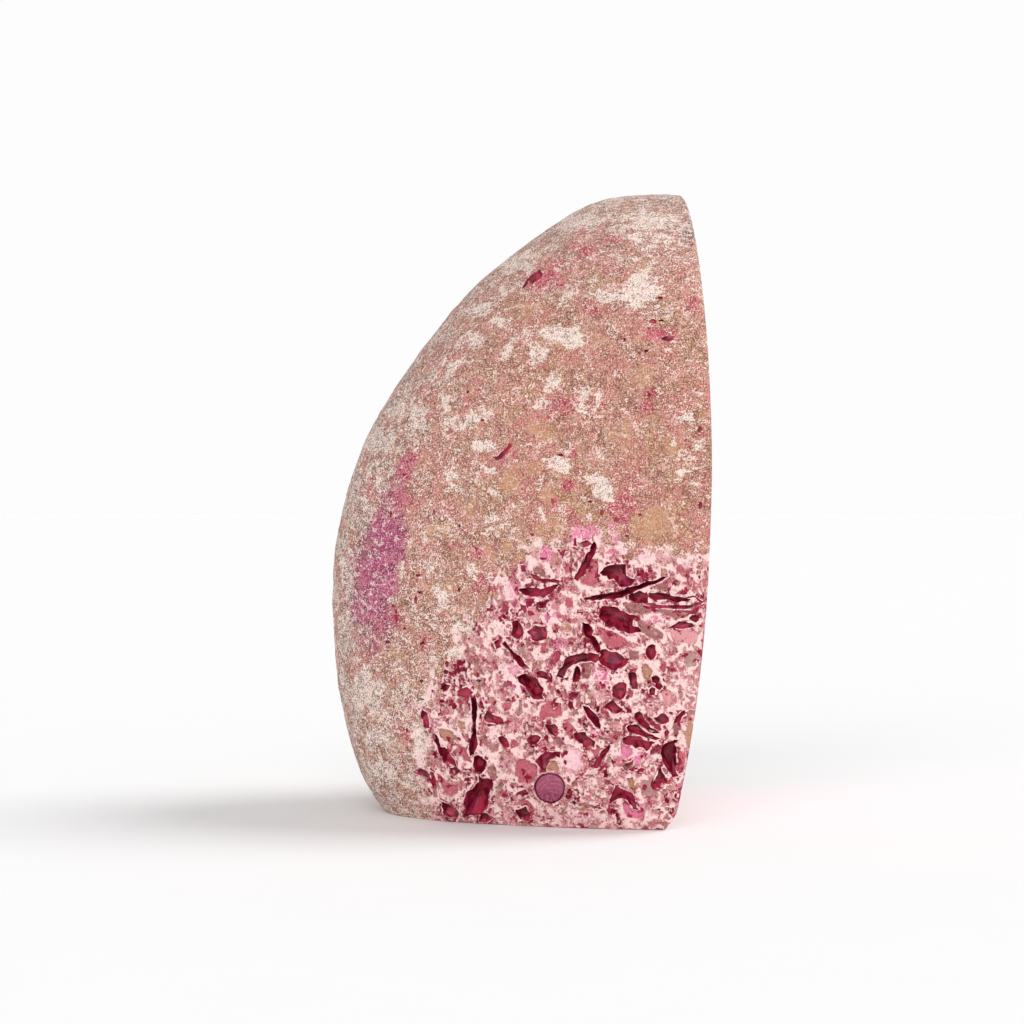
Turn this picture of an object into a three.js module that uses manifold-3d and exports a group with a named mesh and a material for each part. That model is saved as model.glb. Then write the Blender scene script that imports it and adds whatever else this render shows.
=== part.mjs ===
import * as THREE from "three";
import { mergeVertices } from "three/addons/utils/BufferGeometryUtils.js";
import Module from "manifold-3d";

// A standing half nodule of dyed agate, one natural stone. A rough domed rind makes the back and the
// sides, the front is one large face ground flat to a slight swell and polished, and the foot is sawn
// flat so that the stone stands by itself. The lower part of the rind is a broken, re-healed zone
// with open angular pits. Millimetres, +Z up, the middle of the foot at the origin, face towards -Y.

const wasm = await Module();
wasm.setup();

// Driving dimensions
const stoneDepth = 72;
const faceFront = -36.475;
const chamfer = 0.45;
const swellMiddle = 66;
const swellAbove = 0.0011;
const swellBelow = 0.0015;
const swellSide = 0.0002;
const swellSet = 0.95;
const roundUpper = 2.2;
const roundLower = 3.0;
const lumpHeight = 0.55;
const aroundSteps = 84;
const ringSteps = 26;
const faceRings = [0.78, 0.52, 0.26];
const footBevelRun = 1.7;
const footBevelRise = 2.5;
const pitStart = 0.9;
const floorShrink = 0.58;

// Sections across the depth, from the polished face to the back of the dome:
// depth behind the face, top, lowest point before the foot is sawn, half width, widest height.
const sections = [
  [0, 119, -16, 44, 62],
  [6, 119.6, -16, 43.9, 62],
  [12, 119.3, -15.6, 43.4, 61.5],
  [18, 118.4, -15, 42.4, 61],
  [27, 115, -13.5, 40.3, 60],
  [36, 109.2, -11.4, 37, 58],
  [45, 101.2, -8.8, 32.6, 56],
  [53, 92, -6, 27.8, 54],
  [60, 82, -1.8, 22.3, 51.5],
  [65, 73.6, 4.2, 17, 49],
  [69, 62.6, 15.2, 11, 47],
  [71.3, 52.5, 28.5, 5.6, 45],
  [72, 42, 42, 0, 42],
];

function blend(a, b, c, d, t) {
  const line = 2 * b + (c - a) * t;
  const bend = (2 * a - 5 * b + 4 * c - d) * t * t;
  const turn = (3 * b - a - 3 * c + d) * t * t * t;
  return 0.5 * (line + bend + turn);
}

// Rows before the face and past the back, so that the curves run on smoothly through both ends.
function sectionRow(index) {
  if (index < 0) {
    return [-6, 118, -16, 44, 62];
  }
  if (index >= sections.length) {
    const [depth, top, low, half, widest] = sections[sections.length - 2];
    return [depth, low, top, -half, widest];
  }
  return sections[index];
}

function sectionAt(step) {
  const index = Math.min(Math.floor(step), sections.length - 2);
  const part = step - index;
  const rows = [-1, 0, 1, 2].map((shift) => sectionRow(index + shift));
  return [0, 1, 2, 3, 4].map((k) => blend(rows[0][k], rows[1][k], rows[2][k], rows[3][k], part));
}

function sectionAtDepth(depth) {
  let near = 0;
  let far = sections.length - 1;
  for (let i = 0; i < 40; i += 1) {
    const middle = (near + far) / 2;
    if (sectionAt(middle)[0] < depth) {
      near = middle;
    } else {
      far = middle;
    }
  }
  return sectionAt((near + far) / 2);
}

// An egg-shaped outline: x and z of the point at an angle, counted from +X upwards.
function outlinePoint(section, angle) {
  const [, top, low, half, widest] = section;
  const side = Math.cos(angle);
  const rise = Math.sin(angle);
  const power = 2 / (rise >= 0 ? roundUpper : roundLower);
  const reach = rise >= 0 ? top - widest : widest - low;
  return [
    half * Math.sign(side) * Math.abs(side) ** power,
    widest + reach * Math.sign(rise) * Math.abs(rise) ** power,
  ];
}

function faceSwell(x, z) {
  const rise = z > swellMiddle ? swellAbove : swellBelow;
  return swellSet + rise * (z - swellMiddle) ** 2 + swellSide * x * x;
}

// Slow swells of the natural rind.
function lumpAt(x, y, z) {
  const broad = Math.sin(0.105 * y + 0.9 + 0.02 * x) * Math.sin(0.088 * z + 0.5);
  const short = 0.55 * Math.sin(0.19 * y - 0.13 * z + 0.07 * x + 1.1);
  const across = 0.5 * Math.sin(0.15 * x + 0.06 * z);
  return lumpHeight * (broad + short + across);
}

function lumped(x, y, z, amount) {
  const reach = Math.hypot(x, z - 52) || 1;
  const push = amount * lumpAt(x, y, z);
  return [x + (push * x) / reach, y, z + (push * (z - 52)) / reach];
}

function stoneRing(part, angle) {
  const front = outlinePoint(sections[0], angle);
  const rim = faceSwell(front[0], front[1]) + chamfer;
  const depth = rim + (stoneDepth - rim) * part;
  const [x, z] = outlinePoint(sectionAtDepth(depth), angle);
  return lumped(x, faceFront + depth, z, Math.min(1, 3 * (1 - part)));
}

function facePoint(rimPoint, share) {
  const [x, , z] = rimPoint;
  const reach = Math.hypot(x, z - 55);
  const kept = share * (1 - chamfer / reach);
  const px = x * kept;
  const pz = 55 + (z - 55) * kept;
  return [px, faceFront + faceSwell(px, pz), pz];
}

// The whole stone before the foot is sawn: face rings, the ground edge, then rings back to the pole.
function roughStone() {
  const rings = [];
  const angles = Array.from({ length: aroundSteps }, (_, i) => (2 * Math.PI * i) / aroundSteps);
  const rim = angles.map((angle) => stoneRing(0, angle));
  for (const share of [...faceRings].reverse()) {
    rings.push(rim.map((point) => facePoint(point, share)));
  }
  rings.push(rim.map((point) => facePoint(point, 1)));
  rings.push(rim);
  for (let i = 1; i < ringSteps; i += 1) {
    const part = Math.sin((Math.PI / 2) * (i / ringSteps));
    rings.push(angles.map((angle) => stoneRing(part, angle)));
  }
  const points = rings.flat();
  const front = points.length;
  points.push([0, faceFront + faceSwell(0, 55), 55]);
  points.push([0, faceFront + stoneDepth, sections[sections.length - 1][1]]);
  const triangles = [];
  for (let i = 0; i < aroundSteps; i += 1) {
    const next = (i + 1) % aroundSteps;
    triangles.push(front, i, next);
    for (let k = 0; k + 1 < rings.length; k += 1) {
      const a = k * aroundSteps;
      const b = a + aroundSteps;
      triangles.push(a + i, b + i, b + next);
      triangles.push(a + i, b + next, a + next);
    }
    const last = (rings.length - 1) * aroundSteps;
    triangles.push(front + 1, last + next, last + i);
  }
  return solidFrom(points, triangles);
}

function solidFrom(points, triangles) {
  const vertProperties = new Float32Array(points.flat());
  const triVerts = new Uint32Array(triangles);
  const solid = new wasm.Manifold(new wasm.Mesh({ numProp: 3, vertProperties, triVerts }));
  if (solid.volume() > 0) {
    return solid;
  }
  const turned = new Uint32Array(triVerts.length);
  for (let i = 0; i < triVerts.length; i += 3) {
    turned.set([triVerts[i], triVerts[i + 2], triVerts[i + 1]], i);
  }
  return new wasm.Manifold(new wasm.Mesh({ numProp: 3, vertProperties, triVerts: turned }));
}

function solidFromGeometry(geometry) {
  geometry.deleteAttribute("normal");
  geometry.deleteAttribute("uv");
  const merged = mergeVertices(geometry, 1e-5);
  return new wasm.Manifold(
    new wasm.Mesh({
      numProp: 3,
      vertProperties: new Float32Array(merged.attributes.position.array),
      triVerts: new Uint32Array(merged.index.array),
    }),
  );
}

function sawnFoot() {
  const block = new THREE.BoxGeometry(200, 200, 60);
  block.translate(0, 0, -30);
  return solidFromGeometry(block);
}

// The ground bevel where the polished face meets the foot.
function footBevel() {
  const foot = faceFront + faceSwell(0, 0) + footBevelRun;
  const block = new THREE.BoxGeometry(200, 30, 60);
  block.translate(0, -15, 0);
  block.rotateX(Math.atan2(footBevelRun, footBevelRise));
  block.translate(0, foot, 0);
  return solidFromGeometry(block);
}

// The open pits of the broken zone. Each row holds the depth of the pit and its corners as seen from
// the side, in pairs of distance along the depth axis and height.
const sidePits = [
  [2.2, [-13.9, 52.8, -14.3, 51.6, -12.8, 48.2, -11.2, 46.1, -10.5, 46.5, -12.1, 49.6]],
  [1.6, [-0.6, 43.8, -2.5, 44.2, -4.0, 44.1, -5.6, 44.6, -8.2, 45.5, -6.6, 44.0, -4.8, 42.5, -2.3, 43.2]],
  [0.9, [-3.1, 46.9, -4.5, 46.2, -7.4, 45.9, -5.2, 45.5, -3.3, 46.0]],
  [2.3, [-15.1, 47.3, -16.4, 48.6, -19.3, 48.4, -19.6, 46.9, -21.3, 46.2, -20.4, 45.3, -18.6, 45.2]],
  [2.6, [-12.2, 42.6, -14.6, 43.5, -18.2, 43.9, -21.8, 45.2, -27.2, 46.8, -25.4, 45.7, -18.9, 43.2]],
  [2.0, [-20.2, 43.4, -21.5, 43.9, -23.5, 44.0, -23.6, 42.0, -21.8, 42.2, -20.5, 42.7]],
  [1.6, [-24.0, 43.9, -25.4, 43.7, -29.0, 43.1, -31.0, 42.6, -29.0, 42.3, -26.5, 42.6, -24.0, 42.9]],
  [1.5, [-29.8, 39.7, -31.8, 39.6, -31.8, 38.5, -30.1, 38.6]],
  [3.6, [-15.3, 41.4, -16.8, 41.6, -18.7, 40.5, -21.8, 39.7, -22.2, 37.0, -20.0, 36.5, -15.7, 37.6]],
  [2.2, [-11.9, 38.4, -13.7, 37.5, -13.7, 36.2, -14.9, 34.0, -15.1, 32.9, -14.0, 34.0, -12.4, 36.2]],
  [1.9, [-15.1, 33.0, -16.2, 33.7, -18.6, 32.8, -20.0, 31.8, -19.6, 30.4, -17.8, 29.8, -15.5, 31.2]],
  [1.3, [-7.9, 28.8, -9.3, 31.7, -12.1, 32.8, -14.6, 32.5, -14.6, 31.4, -12.0, 31.4, -9.8, 30.4, -8.6, 28.5]],
  [1.6, [-23.8, 34.3, -25.1, 34.5, -25.1, 32.7, -24.3, 31.8, -23.4, 33.1]],
  [2.1, [0.6, 37.9, -0.1, 38.1, -1.3, 37.0, -1.3, 35.6, -0.1, 34.7, 0.8, 35.8]],
  [1.0, [-2.1, 36.4, -3.4, 37.4, -5.0, 37.2, -5.0, 35.3, -3.8, 35.0, -2.5, 35.3]],
  [1.8, [2.0, 34.6, 1.0, 33.4, -0.5, 31.9, -2.4, 29.8, -1.5, 29.9, -0.1, 31.2, 1.3, 33.0, 2.3, 34.2]],
  [3.1, [-0.4, 28.2, -1.8, 28.7, -3.4, 27.9, -5.0, 26.4, -5.2, 24.2, -3.8, 24.1, -2.7, 25.0, -1.2, 27.0]],
  [0.9, [-3.8, 29.0, -4.7, 29.5, -5.6, 28.8, -5.4, 27.9, -4.3, 28.3]],
  [1.6, [-10.3, 28.9, -11.0, 30.2, -11.5, 30.0, -11.4, 28.0, -10.4, 27.5]],
  [1.2, [-20.4, 29.1, -21.4, 29.4, -21.7, 26.5, -20.9, 26.4]],
  [1.5, [-24.2, 28.5, -25.5, 28.4, -25.8, 26.9, -24.9, 26.2, -24.1, 25.8, -24.4, 27.3]],
  [1.5, [-17.5, 26.4, -18.6, 27.5, -20.0, 27.2, -19.9, 25.7, -18.6, 24.3, -17.5, 25.0]],
  [1.2, [-16.1, 22.7, -17.6, 23.7, -19.4, 22.5, -18.8, 21.6, -17.4, 22.0]],
  [0.9, [10.6, 25.0, 9.1, 25.7, 8.2, 25.0, 8.7, 24.1, 10.0, 24.1]],
  [0.8, [13.9, 25.3, 13.2, 26.0, 12.3, 25.9, 13.0, 25.1]],
  [2.4, [8.1, 23.7, 7.6, 24.0, 7.4, 21.4, 7.2, 17.2, 7.6, 13.5, 8.4, 13.5, 8.3, 16.1, 8.1, 19.8]],
  [1.2, [17.4, 21.2, 16.8, 20.7, 16.3, 18.4, 17.2, 18.4]],
  [2.2, [15.1, 17.2, 14.4, 16.1, 14.0, 14.6, 12.7, 14.2, 11.2, 12.0, 11.0, 11.2, 13.1, 12.4, 14.7, 14.4]],
  [0.9, [12.3, 10.9, 11.2, 11.1, 10.5, 10.5, 11.4, 9.5]],
  [1.0, [19.0, 9.6, 18.0, 10.5, 16.3, 9.7, 16.8, 8.9, 18.0, 9.2]],
  [0.9, [15.9, 10.2, 15.3, 9.9, 14.9, 7.0, 15.5, 7.2]],
  [2.4, [7.7, 12.9, 6.3, 13.1, 5.4, 12.2, 5.6, 10.8, 6.8, 10.3, 7.7, 10.9]],
  [3.8, [6.7, 9.8, 4.7, 8.5, 4.7, 6.3, 5.4, 4.4, 7.1, 2.6, 9.8, 1.6, 10.3, 3.1, 8.9, 6.2, 7.6, 8.0]],
  [1.9, [13.5, 4.0, 12.0, 4.0, 10.9, 2.8, 10.9, 1.1, 12.4, 1.2, 13.8, 2.0]],
  [1.0, [6.4, 2.3, 5.3, 2.4, 4.5, 1.4, 5.5, 0.7, 6.5, 1.0]],
  [1.8, [-0.2, 3.0, -1.6, 3.0, -2.8, 2.4, -2.5, 0.8, -1.4, 1.1, -0.6, 1.7]],
  [1.8, [-4.0, 13.5, -5.3, 14.8, -7.9, 14.6, -7.9, 13.3, -5.5, 13.0, -5.3, 10.9, -4.2, 10.9]],
  [1.5, [-10.8, 17.9, -12.6, 18.0, -14.1, 16.2, -14.2, 15.2, -12.4, 15.5, -11.2, 16.7]],
  [1.6, [-12.2, 22.8, -13.1, 22.6, -14.8, 20.6, -15.4, 18.2, -14.6, 19.3, -13.1, 20.8]],
  [1.3, [-16.9, 15.8, -17.1, 15.1, -14.9, 11.6, -14.0, 12.0, -14.6, 13.1, -15.7, 14.3]],
  [1.6, [-20.0, 18.8, -21.5, 19.4, -23.3, 18.3, -25.8, 17.1, -24.4, 17.0, -22.6, 17.5, -20.4, 18.1]],
  [1.6, [-19.5, 16.7, -21.8, 16.9, -25.1, 16.4, -23.6, 14.8, -21.8, 15.4, -20.4, 15.9]],
  [1.5, [-21.5, 21.2, -22.4, 22.1, -23.3, 20.3, -24.9, 18.8, -25.6, 18.3, -24.0, 18.4, -22.4, 19.7]],
  [1.3, [-25.1, 21.1, -26.5, 22.0, -27.6, 21.2, -26.9, 20.1, -25.4, 20.3]],
  [2.3, [-29.3, 17.0, -28.5, 16.3, -28.6, 13.9, -29.2, 10.4, -28.6, 10.3, -27.2, 11.8, -26.4, 14.5, -27.3, 16.3]],
  [1.5, [-26.3, 11.4, -27.0, 9.7, -27.2, 9.0, -26.1, 7.8, -25.3, 8.0, -25.6, 10.3]],
  [1.2, [-30.3, 22.7, -30.4, 22.1, -29.1, 20.5, -28.5, 20.1, -28.9, 21.3]],
  [1.5, [-18.3, 8.1, -20.0, 7.1, -21.4, 6.0, -22.3, 3.8, -21.4, 4.0, -20.0, 6.0, -18.5, 5.9, -17.3, 5.0]],
  [0.9, [-19.5, 11.7, -20.7, 12.3, -21.3, 12.9, -20.9, 11.5, -20.0, 11.2]],
  [1.2, [-5.4, 19.6, -7.0, 19.7, -7.9, 18.1, -7.2, 17.6, -6.1, 18.4]],
  [1.2, [3.2, 17.0, 2.4, 17.2, 1.3, 16.4, 1.5, 15.3, 2.6, 15.5]],
  [1.0, [-2.1, 16.9, -3.0, 17.8, -4.3, 17.3, -3.4, 16.3, -2.5, 16.4]],
  [0.9, [5.8, 20.6, 5.0, 21.6, 2.6, 20.4, 2.4, 19.7, 5.0, 19.7]],
  [0.9, [-3.2, 102.6, -4.3, 103.3, -4.7, 102.4, -3.9, 101.6, -1.2, 100.3]],
];

// Pits guessed for the far side, where the same broken zone runs on near the face and the foot.
const farPits = [
  [2.4, [-28.0, 31.0, -25.0, 33.5, -20.5, 32.6, -21.5, 29.6, -25.4, 28.4]],
  [2.8, [-18.0, 22.0, -14.6, 24.6, -11.8, 22.4, -13.0, 18.6, -16.8, 18.8]],
  [1.6, [-30.0, 20.5, -27.4, 22.6, -24.6, 21.0, -26.6, 18.4]],
  [1.8, [-8.0, 13.2, -3.4, 14.6, -2.0, 12.2, -5.8, 10.6]],
  [2.2, [-24.0, 12.6, -19.0, 14.4, -16.8, 11.8, -20.2, 8.2, -23.6, 9.4]],
  [1.4, [-10.0, 31.4, -6.2, 32.2, -5.0, 30.2, -8.2, 29.2]],
  [1.2, [4.0, 20.0, 7.2, 21.6, 8.4, 19.2, 5.6, 17.8]],
];

function sideReach(along, up) {
  const section = sectionAtDepth(along - faceFront);
  const [, top, low, half, widest] = section;
  const upper = up >= widest;
  const share = Math.min(1, upper ? (up - widest) / (top - widest) : (widest - up) / (widest - low));
  const power = upper ? roundUpper : roundLower;
  return half * (1 - share ** power) ** (1 / power);
}

function sidePoint(side, along, up) {
  const x = side * sideReach(along, up);
  return new THREE.Vector3(...lumped(x, along, up, 1));
}

function sideNormal(side, along, up) {
  const alongStep = sidePoint(side, along + 0.6, up).sub(sidePoint(side, along - 0.6, up));
  const upStep = sidePoint(side, along, up + 0.6).sub(sidePoint(side, along, up - 0.6));
  const normal = alongStep.cross(upStep).normalize();
  return normal.x * side < 0 ? normal.negate() : normal;
}

function pitCutter(side, [depth, flat]) {
  const corners = [];
  for (let i = 0; i < flat.length; i += 2) {
    corners.push(new THREE.Vector2(flat[i], flat[i + 1]));
  }
  const middle = corners.reduce((sum, c) => sum.add(c), new THREE.Vector2()).divideScalar(corners.length);
  const normal = sideNormal(side, middle.x, middle.y);
  const outer = [];
  const floor = [];
  corners.forEach((corner, i) => {
    const mouth = middle.clone().lerp(corner, 1 + ((1 - floorShrink) * pitStart) / depth);
    const inner = middle.clone().lerp(corner, floorShrink);
    const drop = depth * (i % 2 ? 0.78 : 1.12);
    outer.push(sidePoint(side, mouth.x, mouth.y).addScaledVector(normal, pitStart));
    floor.push(sidePoint(side, inner.x, inner.y).addScaledVector(normal, -drop));
  });
  const count = corners.length;
  const triangles = [];
  for (const [a, b, c] of THREE.ShapeUtils.triangulateShape(corners, [])) {
    triangles.push(a, b, c);
    triangles.push(count + a, count + c, count + b);
  }
  const turned = THREE.ShapeUtils.isClockWise(corners);
  for (let i = 0; i < count; i += 1) {
    const next = (i + 1) % count;
    const [first, second] = turned ? [next, i] : [i, next];
    triangles.push(first, count + first, count + second);
    triangles.push(first, count + second, second);
  }
  const points = [...outer, ...floor].map((p) => [p.x, p.y, p.z]);
  return solidFrom(points, triangles);
}

function carvedStone() {
  let stone = roughStone().subtract(sawnFoot()).subtract(footBevel());
  for (const pit of sidePits) {
    stone = stone.subtract(pitCutter(-1, pit));
  }
  for (const pit of farPits) {
    stone = stone.subtract(pitCutter(1, pit));
  }
  return stone;
}

function geometryFrom(solid) {
  const mesh = solid.getMesh();
  const positions = new Float32Array(mesh.numVert * 3);
  for (let i = 0; i < mesh.numVert; i += 1) {
    for (let k = 0; k < 3; k += 1) {
      positions[3 * i + k] = mesh.vertProperties[mesh.numProp * i + k];
    }
  }
  const geometry = new THREE.BufferGeometry();
  geometry.setAttribute("position", new THREE.BufferAttribute(positions, 3));
  geometry.setIndex(new THREE.BufferAttribute(new Uint32Array(mesh.triVerts), 1));
  geometry.computeVertexNormals();
  return geometry;
}

const rind = new THREE.MeshStandardMaterial({ color: 0xb48c80, roughness: 0.75, metalness: 0 });
const stoneMesh = new THREE.Mesh(geometryFrom(carvedStone()), rind);
stoneMesh.name = "agate_stone";

const stone = new THREE.Group();
stone.add(stoneMesh);

export default stone;
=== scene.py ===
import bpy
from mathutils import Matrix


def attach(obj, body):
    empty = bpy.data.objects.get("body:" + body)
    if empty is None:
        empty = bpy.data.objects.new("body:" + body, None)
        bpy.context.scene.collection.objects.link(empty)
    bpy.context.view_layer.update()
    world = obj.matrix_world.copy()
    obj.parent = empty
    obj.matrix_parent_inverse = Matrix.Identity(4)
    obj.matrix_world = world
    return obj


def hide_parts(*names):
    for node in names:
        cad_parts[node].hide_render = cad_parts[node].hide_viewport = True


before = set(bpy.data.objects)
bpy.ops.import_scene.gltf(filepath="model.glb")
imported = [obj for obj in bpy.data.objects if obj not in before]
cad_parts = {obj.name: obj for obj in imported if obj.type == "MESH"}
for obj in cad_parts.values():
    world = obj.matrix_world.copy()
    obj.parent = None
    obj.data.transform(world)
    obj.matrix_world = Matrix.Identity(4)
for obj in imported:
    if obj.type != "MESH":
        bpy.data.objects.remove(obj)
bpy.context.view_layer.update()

import math
import random

import bmesh
import bpy
import numpy as np
from mathutils import Vector, noise
from mathutils.bvhtree import BVHTree
from mathutils.kdtree import KDTree

mm = 0.001  # every size below is in millimetres
noiseSeed = 1795483869  # without a seed of its own, noise_vector takes one from the clock
noise.seed_set(noiseSeed)


def startFresh():  # object mode, with nothing selected
    if bpy.context.object and bpy.context.object.mode != "OBJECT":
        bpy.ops.object.mode_set(mode="OBJECT")
    bpy.ops.object.select_all(action="DESELECT")


def takeUp(piece):  # the one selected and active piece
    startFresh()
    piece.select_set(True)
    bpy.context.view_layer.objects.active = piece


def editMesh(piece):
    takeUp(piece)
    bpy.ops.object.mode_set(mode="EDIT")
    return bmesh.from_edit_mesh(piece.data)


def selectFaces(piece, wanted):
    mesh = bmesh.from_edit_mesh(piece.data)
    bpy.ops.mesh.select_all(action="DESELECT")
    bpy.ops.mesh.select_mode(type="FACE")
    for face in mesh.faces:
        if wanted(face):
            face.select_set(True)
    bmesh.update_edit_mesh(piece.data)


def applyModifier(piece, kind, **settings):
    takeUp(piece)
    modifier = piece.modifiers.new(kind.title(), kind)
    for name, value in settings.items():
        setattr(modifier, name, value)
    bpy.ops.object.modifier_apply(modifier=modifier.name)


def smoothStep(low, high, value):
    share = np.clip((value - low) / (high - low), 0, 1)
    return share * share * (3 - 2 * share)


stoneShape = {
    "depth": 72, "faceFront": -36.475, "chamfer": 0.45,
    # the polished face bulges a little
    "swellMiddle": 66, "swellAbove": 0.0011, "swellBelow": 0.0015, "swellSide": 0.0002, "swellSet": 0.95,
    "roundUpper": 2.2, "roundLower": 3.0, "lumpHeight": 0.55,
    "faceCentre": 55, "lumpCentre": 52, "domeTip": 42,  # heights above the foot
    "around": 84, "domeRings": 26, "faceRings": 5, "startRadius": 5, "tableRows": 1201,
    "footBevelRun": 1.7, "footBevelRise": 2.5, "smoothAngle": 38,
    "sections": [  # depth behind the face, top, lowest point, half width, widest height
        [0, 119, -16, 44, 62], [6, 119.6, -16, 43.9, 62], [12, 119.3, -15.6, 43.4, 61.5],
        [18, 118.4, -15, 42.4, 61], [27, 115, -13.5, 40.3, 60], [36, 109.2, -11.4, 37, 58],
        [45, 101.2, -8.8, 32.6, 56], [53, 92, -6, 27.8, 54], [60, 82, -1.8, 22.3, 51.5],
        [65, 73.6, 4.2, 17, 49], [69, 62.6, 15.2, 11, 47], [71.3, 52.5, 28.5, 5.6, 45],
        [72, 42, 42, 0, 42],
    ],
    "sectionInFront": [-6, 118, -16, 44, 62],  # only steers the curve at the face
}


def curveThrough(before, start, end, after, share):  # a smooth curve from start to end
    slope = end - before
    bend = 2 * before - 5 * start + 4 * end - after
    twist = 3 * start - before - 3 * end + after
    return start + 0.5 * (slope * share + bend * share ** 2 + twist * share ** 3)


def sectionRow(index):
    rows = stoneShape["sections"]
    if index < 0:
        return stoneShape["sectionInFront"]
    if index >= len(rows):
        depth, top, low, half, widest = rows[-2]
        return [depth, low, top, -half, widest]
    return rows[index]


def sectionAt(step):
    index = min(int(step), len(stoneShape["sections"]) - 2)
    rows = (np.array(sectionRow(index + shift), float) for shift in (-1, 0, 1, 2))
    return curveThrough(*rows, step - index)


sectionSteps = np.linspace(0, len(stoneShape["sections"]) - 1, stoneShape["tableRows"])
sectionTable = np.array([sectionAt(step) for step in sectionSteps])


def sectionAtDepth(depth):
    return [np.interp(depth, sectionTable[:, 0], column) for column in sectionTable.T]


def outlinePoint(section, angle):
    _, top, low, half, widest = section
    side, rise = math.cos(angle), math.sin(angle)
    power = 2 / (stoneShape["roundUpper"] if rise >= 0 else stoneShape["roundLower"])
    reach = top - widest if rise >= 0 else widest - low
    x = half * math.copysign(abs(side) ** power, side)
    return x, widest + reach * math.copysign(abs(rise) ** power, rise)


def faceSwell(x, z):
    above = z - stoneShape["swellMiddle"]
    rise = stoneShape["swellAbove"] if above > 0 else stoneShape["swellBelow"]
    return stoneShape["swellSet"] + rise * above ** 2 + stoneShape["swellSide"] * x * x


def lumped(x, y, z, amount):  # broad, short and crossing waves push the skin out and in
    broad = math.sin(0.105 * y + 0.9 + 0.02 * x) * math.sin(0.088 * z + 0.5)
    short = 0.55 * math.sin(0.19 * y - 0.13 * z + 0.07 * x + 1.1)
    across = 0.5 * math.sin(0.15 * x + 0.06 * z)
    push = amount * stoneShape["lumpHeight"] * (broad + short + across)
    above = z - stoneShape["lumpCentre"]
    reach = math.hypot(x, above) or 1
    return x + push * x / reach, y, z + push * above / reach


def domePoint(part, angle):
    x, z = outlinePoint(stoneShape["sections"][0], angle)
    rim = faceSwell(x, z) + stoneShape["chamfer"]
    depth = rim + (stoneShape["depth"] - rim) * part
    x, z = outlinePoint(sectionAtDepth(depth), angle)
    return lumped(x, stoneShape["faceFront"] + depth, z, min(1, 3 * (1 - part)))


def facePoint(share, angle):
    x, _, z = domePoint(0, angle)
    centre = stoneShape["faceCentre"]
    kept = share * (1 - stoneShape["chamfer"] / math.hypot(x, z - centre))
    x, z = x * kept, centre + (z - centre) * kept
    return x, stoneShape["faceFront"] + faceSwell(x, z), z


def sidePoint(side, along, up):
    _, top, low, half, widest = sectionAtDepth(along - stoneShape["faceFront"])
    upper = up >= widest
    share = min(1, (up - widest) / (top - widest) if upper else (widest - up) / (widest - low))
    power = stoneShape["roundUpper"] if upper else stoneShape["roundLower"]
    x = side * half * (1 - share ** power) ** (1 / power)
    return Vector(lumped(x, along, up, 1))


def sideNormal(side, along, up):
    step = 0.6
    alongStep = sidePoint(side, along + step, up) - sidePoint(side, along - step, up)
    upStep = sidePoint(side, along, up + step) - sidePoint(side, along, up - step)
    normal = alongStep.cross(upStep).normalized()
    return normal if normal.x * side > 0 else -normal


def ringPoints():
    rings = [("face", (i + 1) / stoneShape["faceRings"]) for i in range(stoneShape["faceRings"])]
    rings.append(("dome", 0))
    count = stoneShape["domeRings"]
    rings += [("dome", math.sin(math.pi / 2 * i / count)) for i in range(1, count)]
    return rings


def placeRing(piece, ringNumber, kind, share):
    mesh = bmesh.from_edit_mesh(piece.data)
    turn = mesh.verts.layers.float["turn"]
    ring = mesh.verts.layers.float["ring"]
    for vertex in mesh.verts:
        if vertex.select:
            vertex[ring] = ringNumber
            place = facePoint(share, vertex[turn]) if kind == "face" else domePoint(share, vertex[turn])
            vertex.co = Vector(place) * mm
    bmesh.update_edit_mesh(piece.data)


def closeRing(piece, ringNumber, place):
    mesh = bmesh.from_edit_mesh(piece.data)
    ring = mesh.verts.layers.float["ring"]
    bpy.ops.mesh.select_all(action="DESELECT")
    bpy.ops.mesh.select_mode(type="VERT")
    for vertex in mesh.verts:
        vertex.select_set(abs(vertex[ring] - ringNumber) < 0.1)
    mesh.select_flush(True)
    bmesh.update_edit_mesh(piece.data)
    bpy.ops.mesh.extrude_region_move(TRANSFORM_OT_translate={"value": (0, 0, 0)})
    bpy.ops.mesh.merge(type="CENTER")
    mesh = bmesh.from_edit_mesh(piece.data)
    for vertex in mesh.verts:
        if vertex.select:
            vertex.co = Vector(place) * mm
    bmesh.update_edit_mesh(piece.data)


def creaseRim(piece):  # the two ground edges stay crisp under the subdivision
    mesh = bmesh.from_edit_mesh(piece.data)
    ring = mesh.verts.layers.float["ring"]
    crease = mesh.edges.layers.float.get("crease_edge") or mesh.edges.layers.float.new("crease_edge")
    sharpRings = (stoneShape["faceRings"] - 1, stoneShape["faceRings"])
    for edge in mesh.edges:
        numbers = [round(vertex[ring]) for vertex in edge.verts]
        if numbers[0] == numbers[1] and numbers[0] in sharpRings:
            edge[crease] = 1


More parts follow.
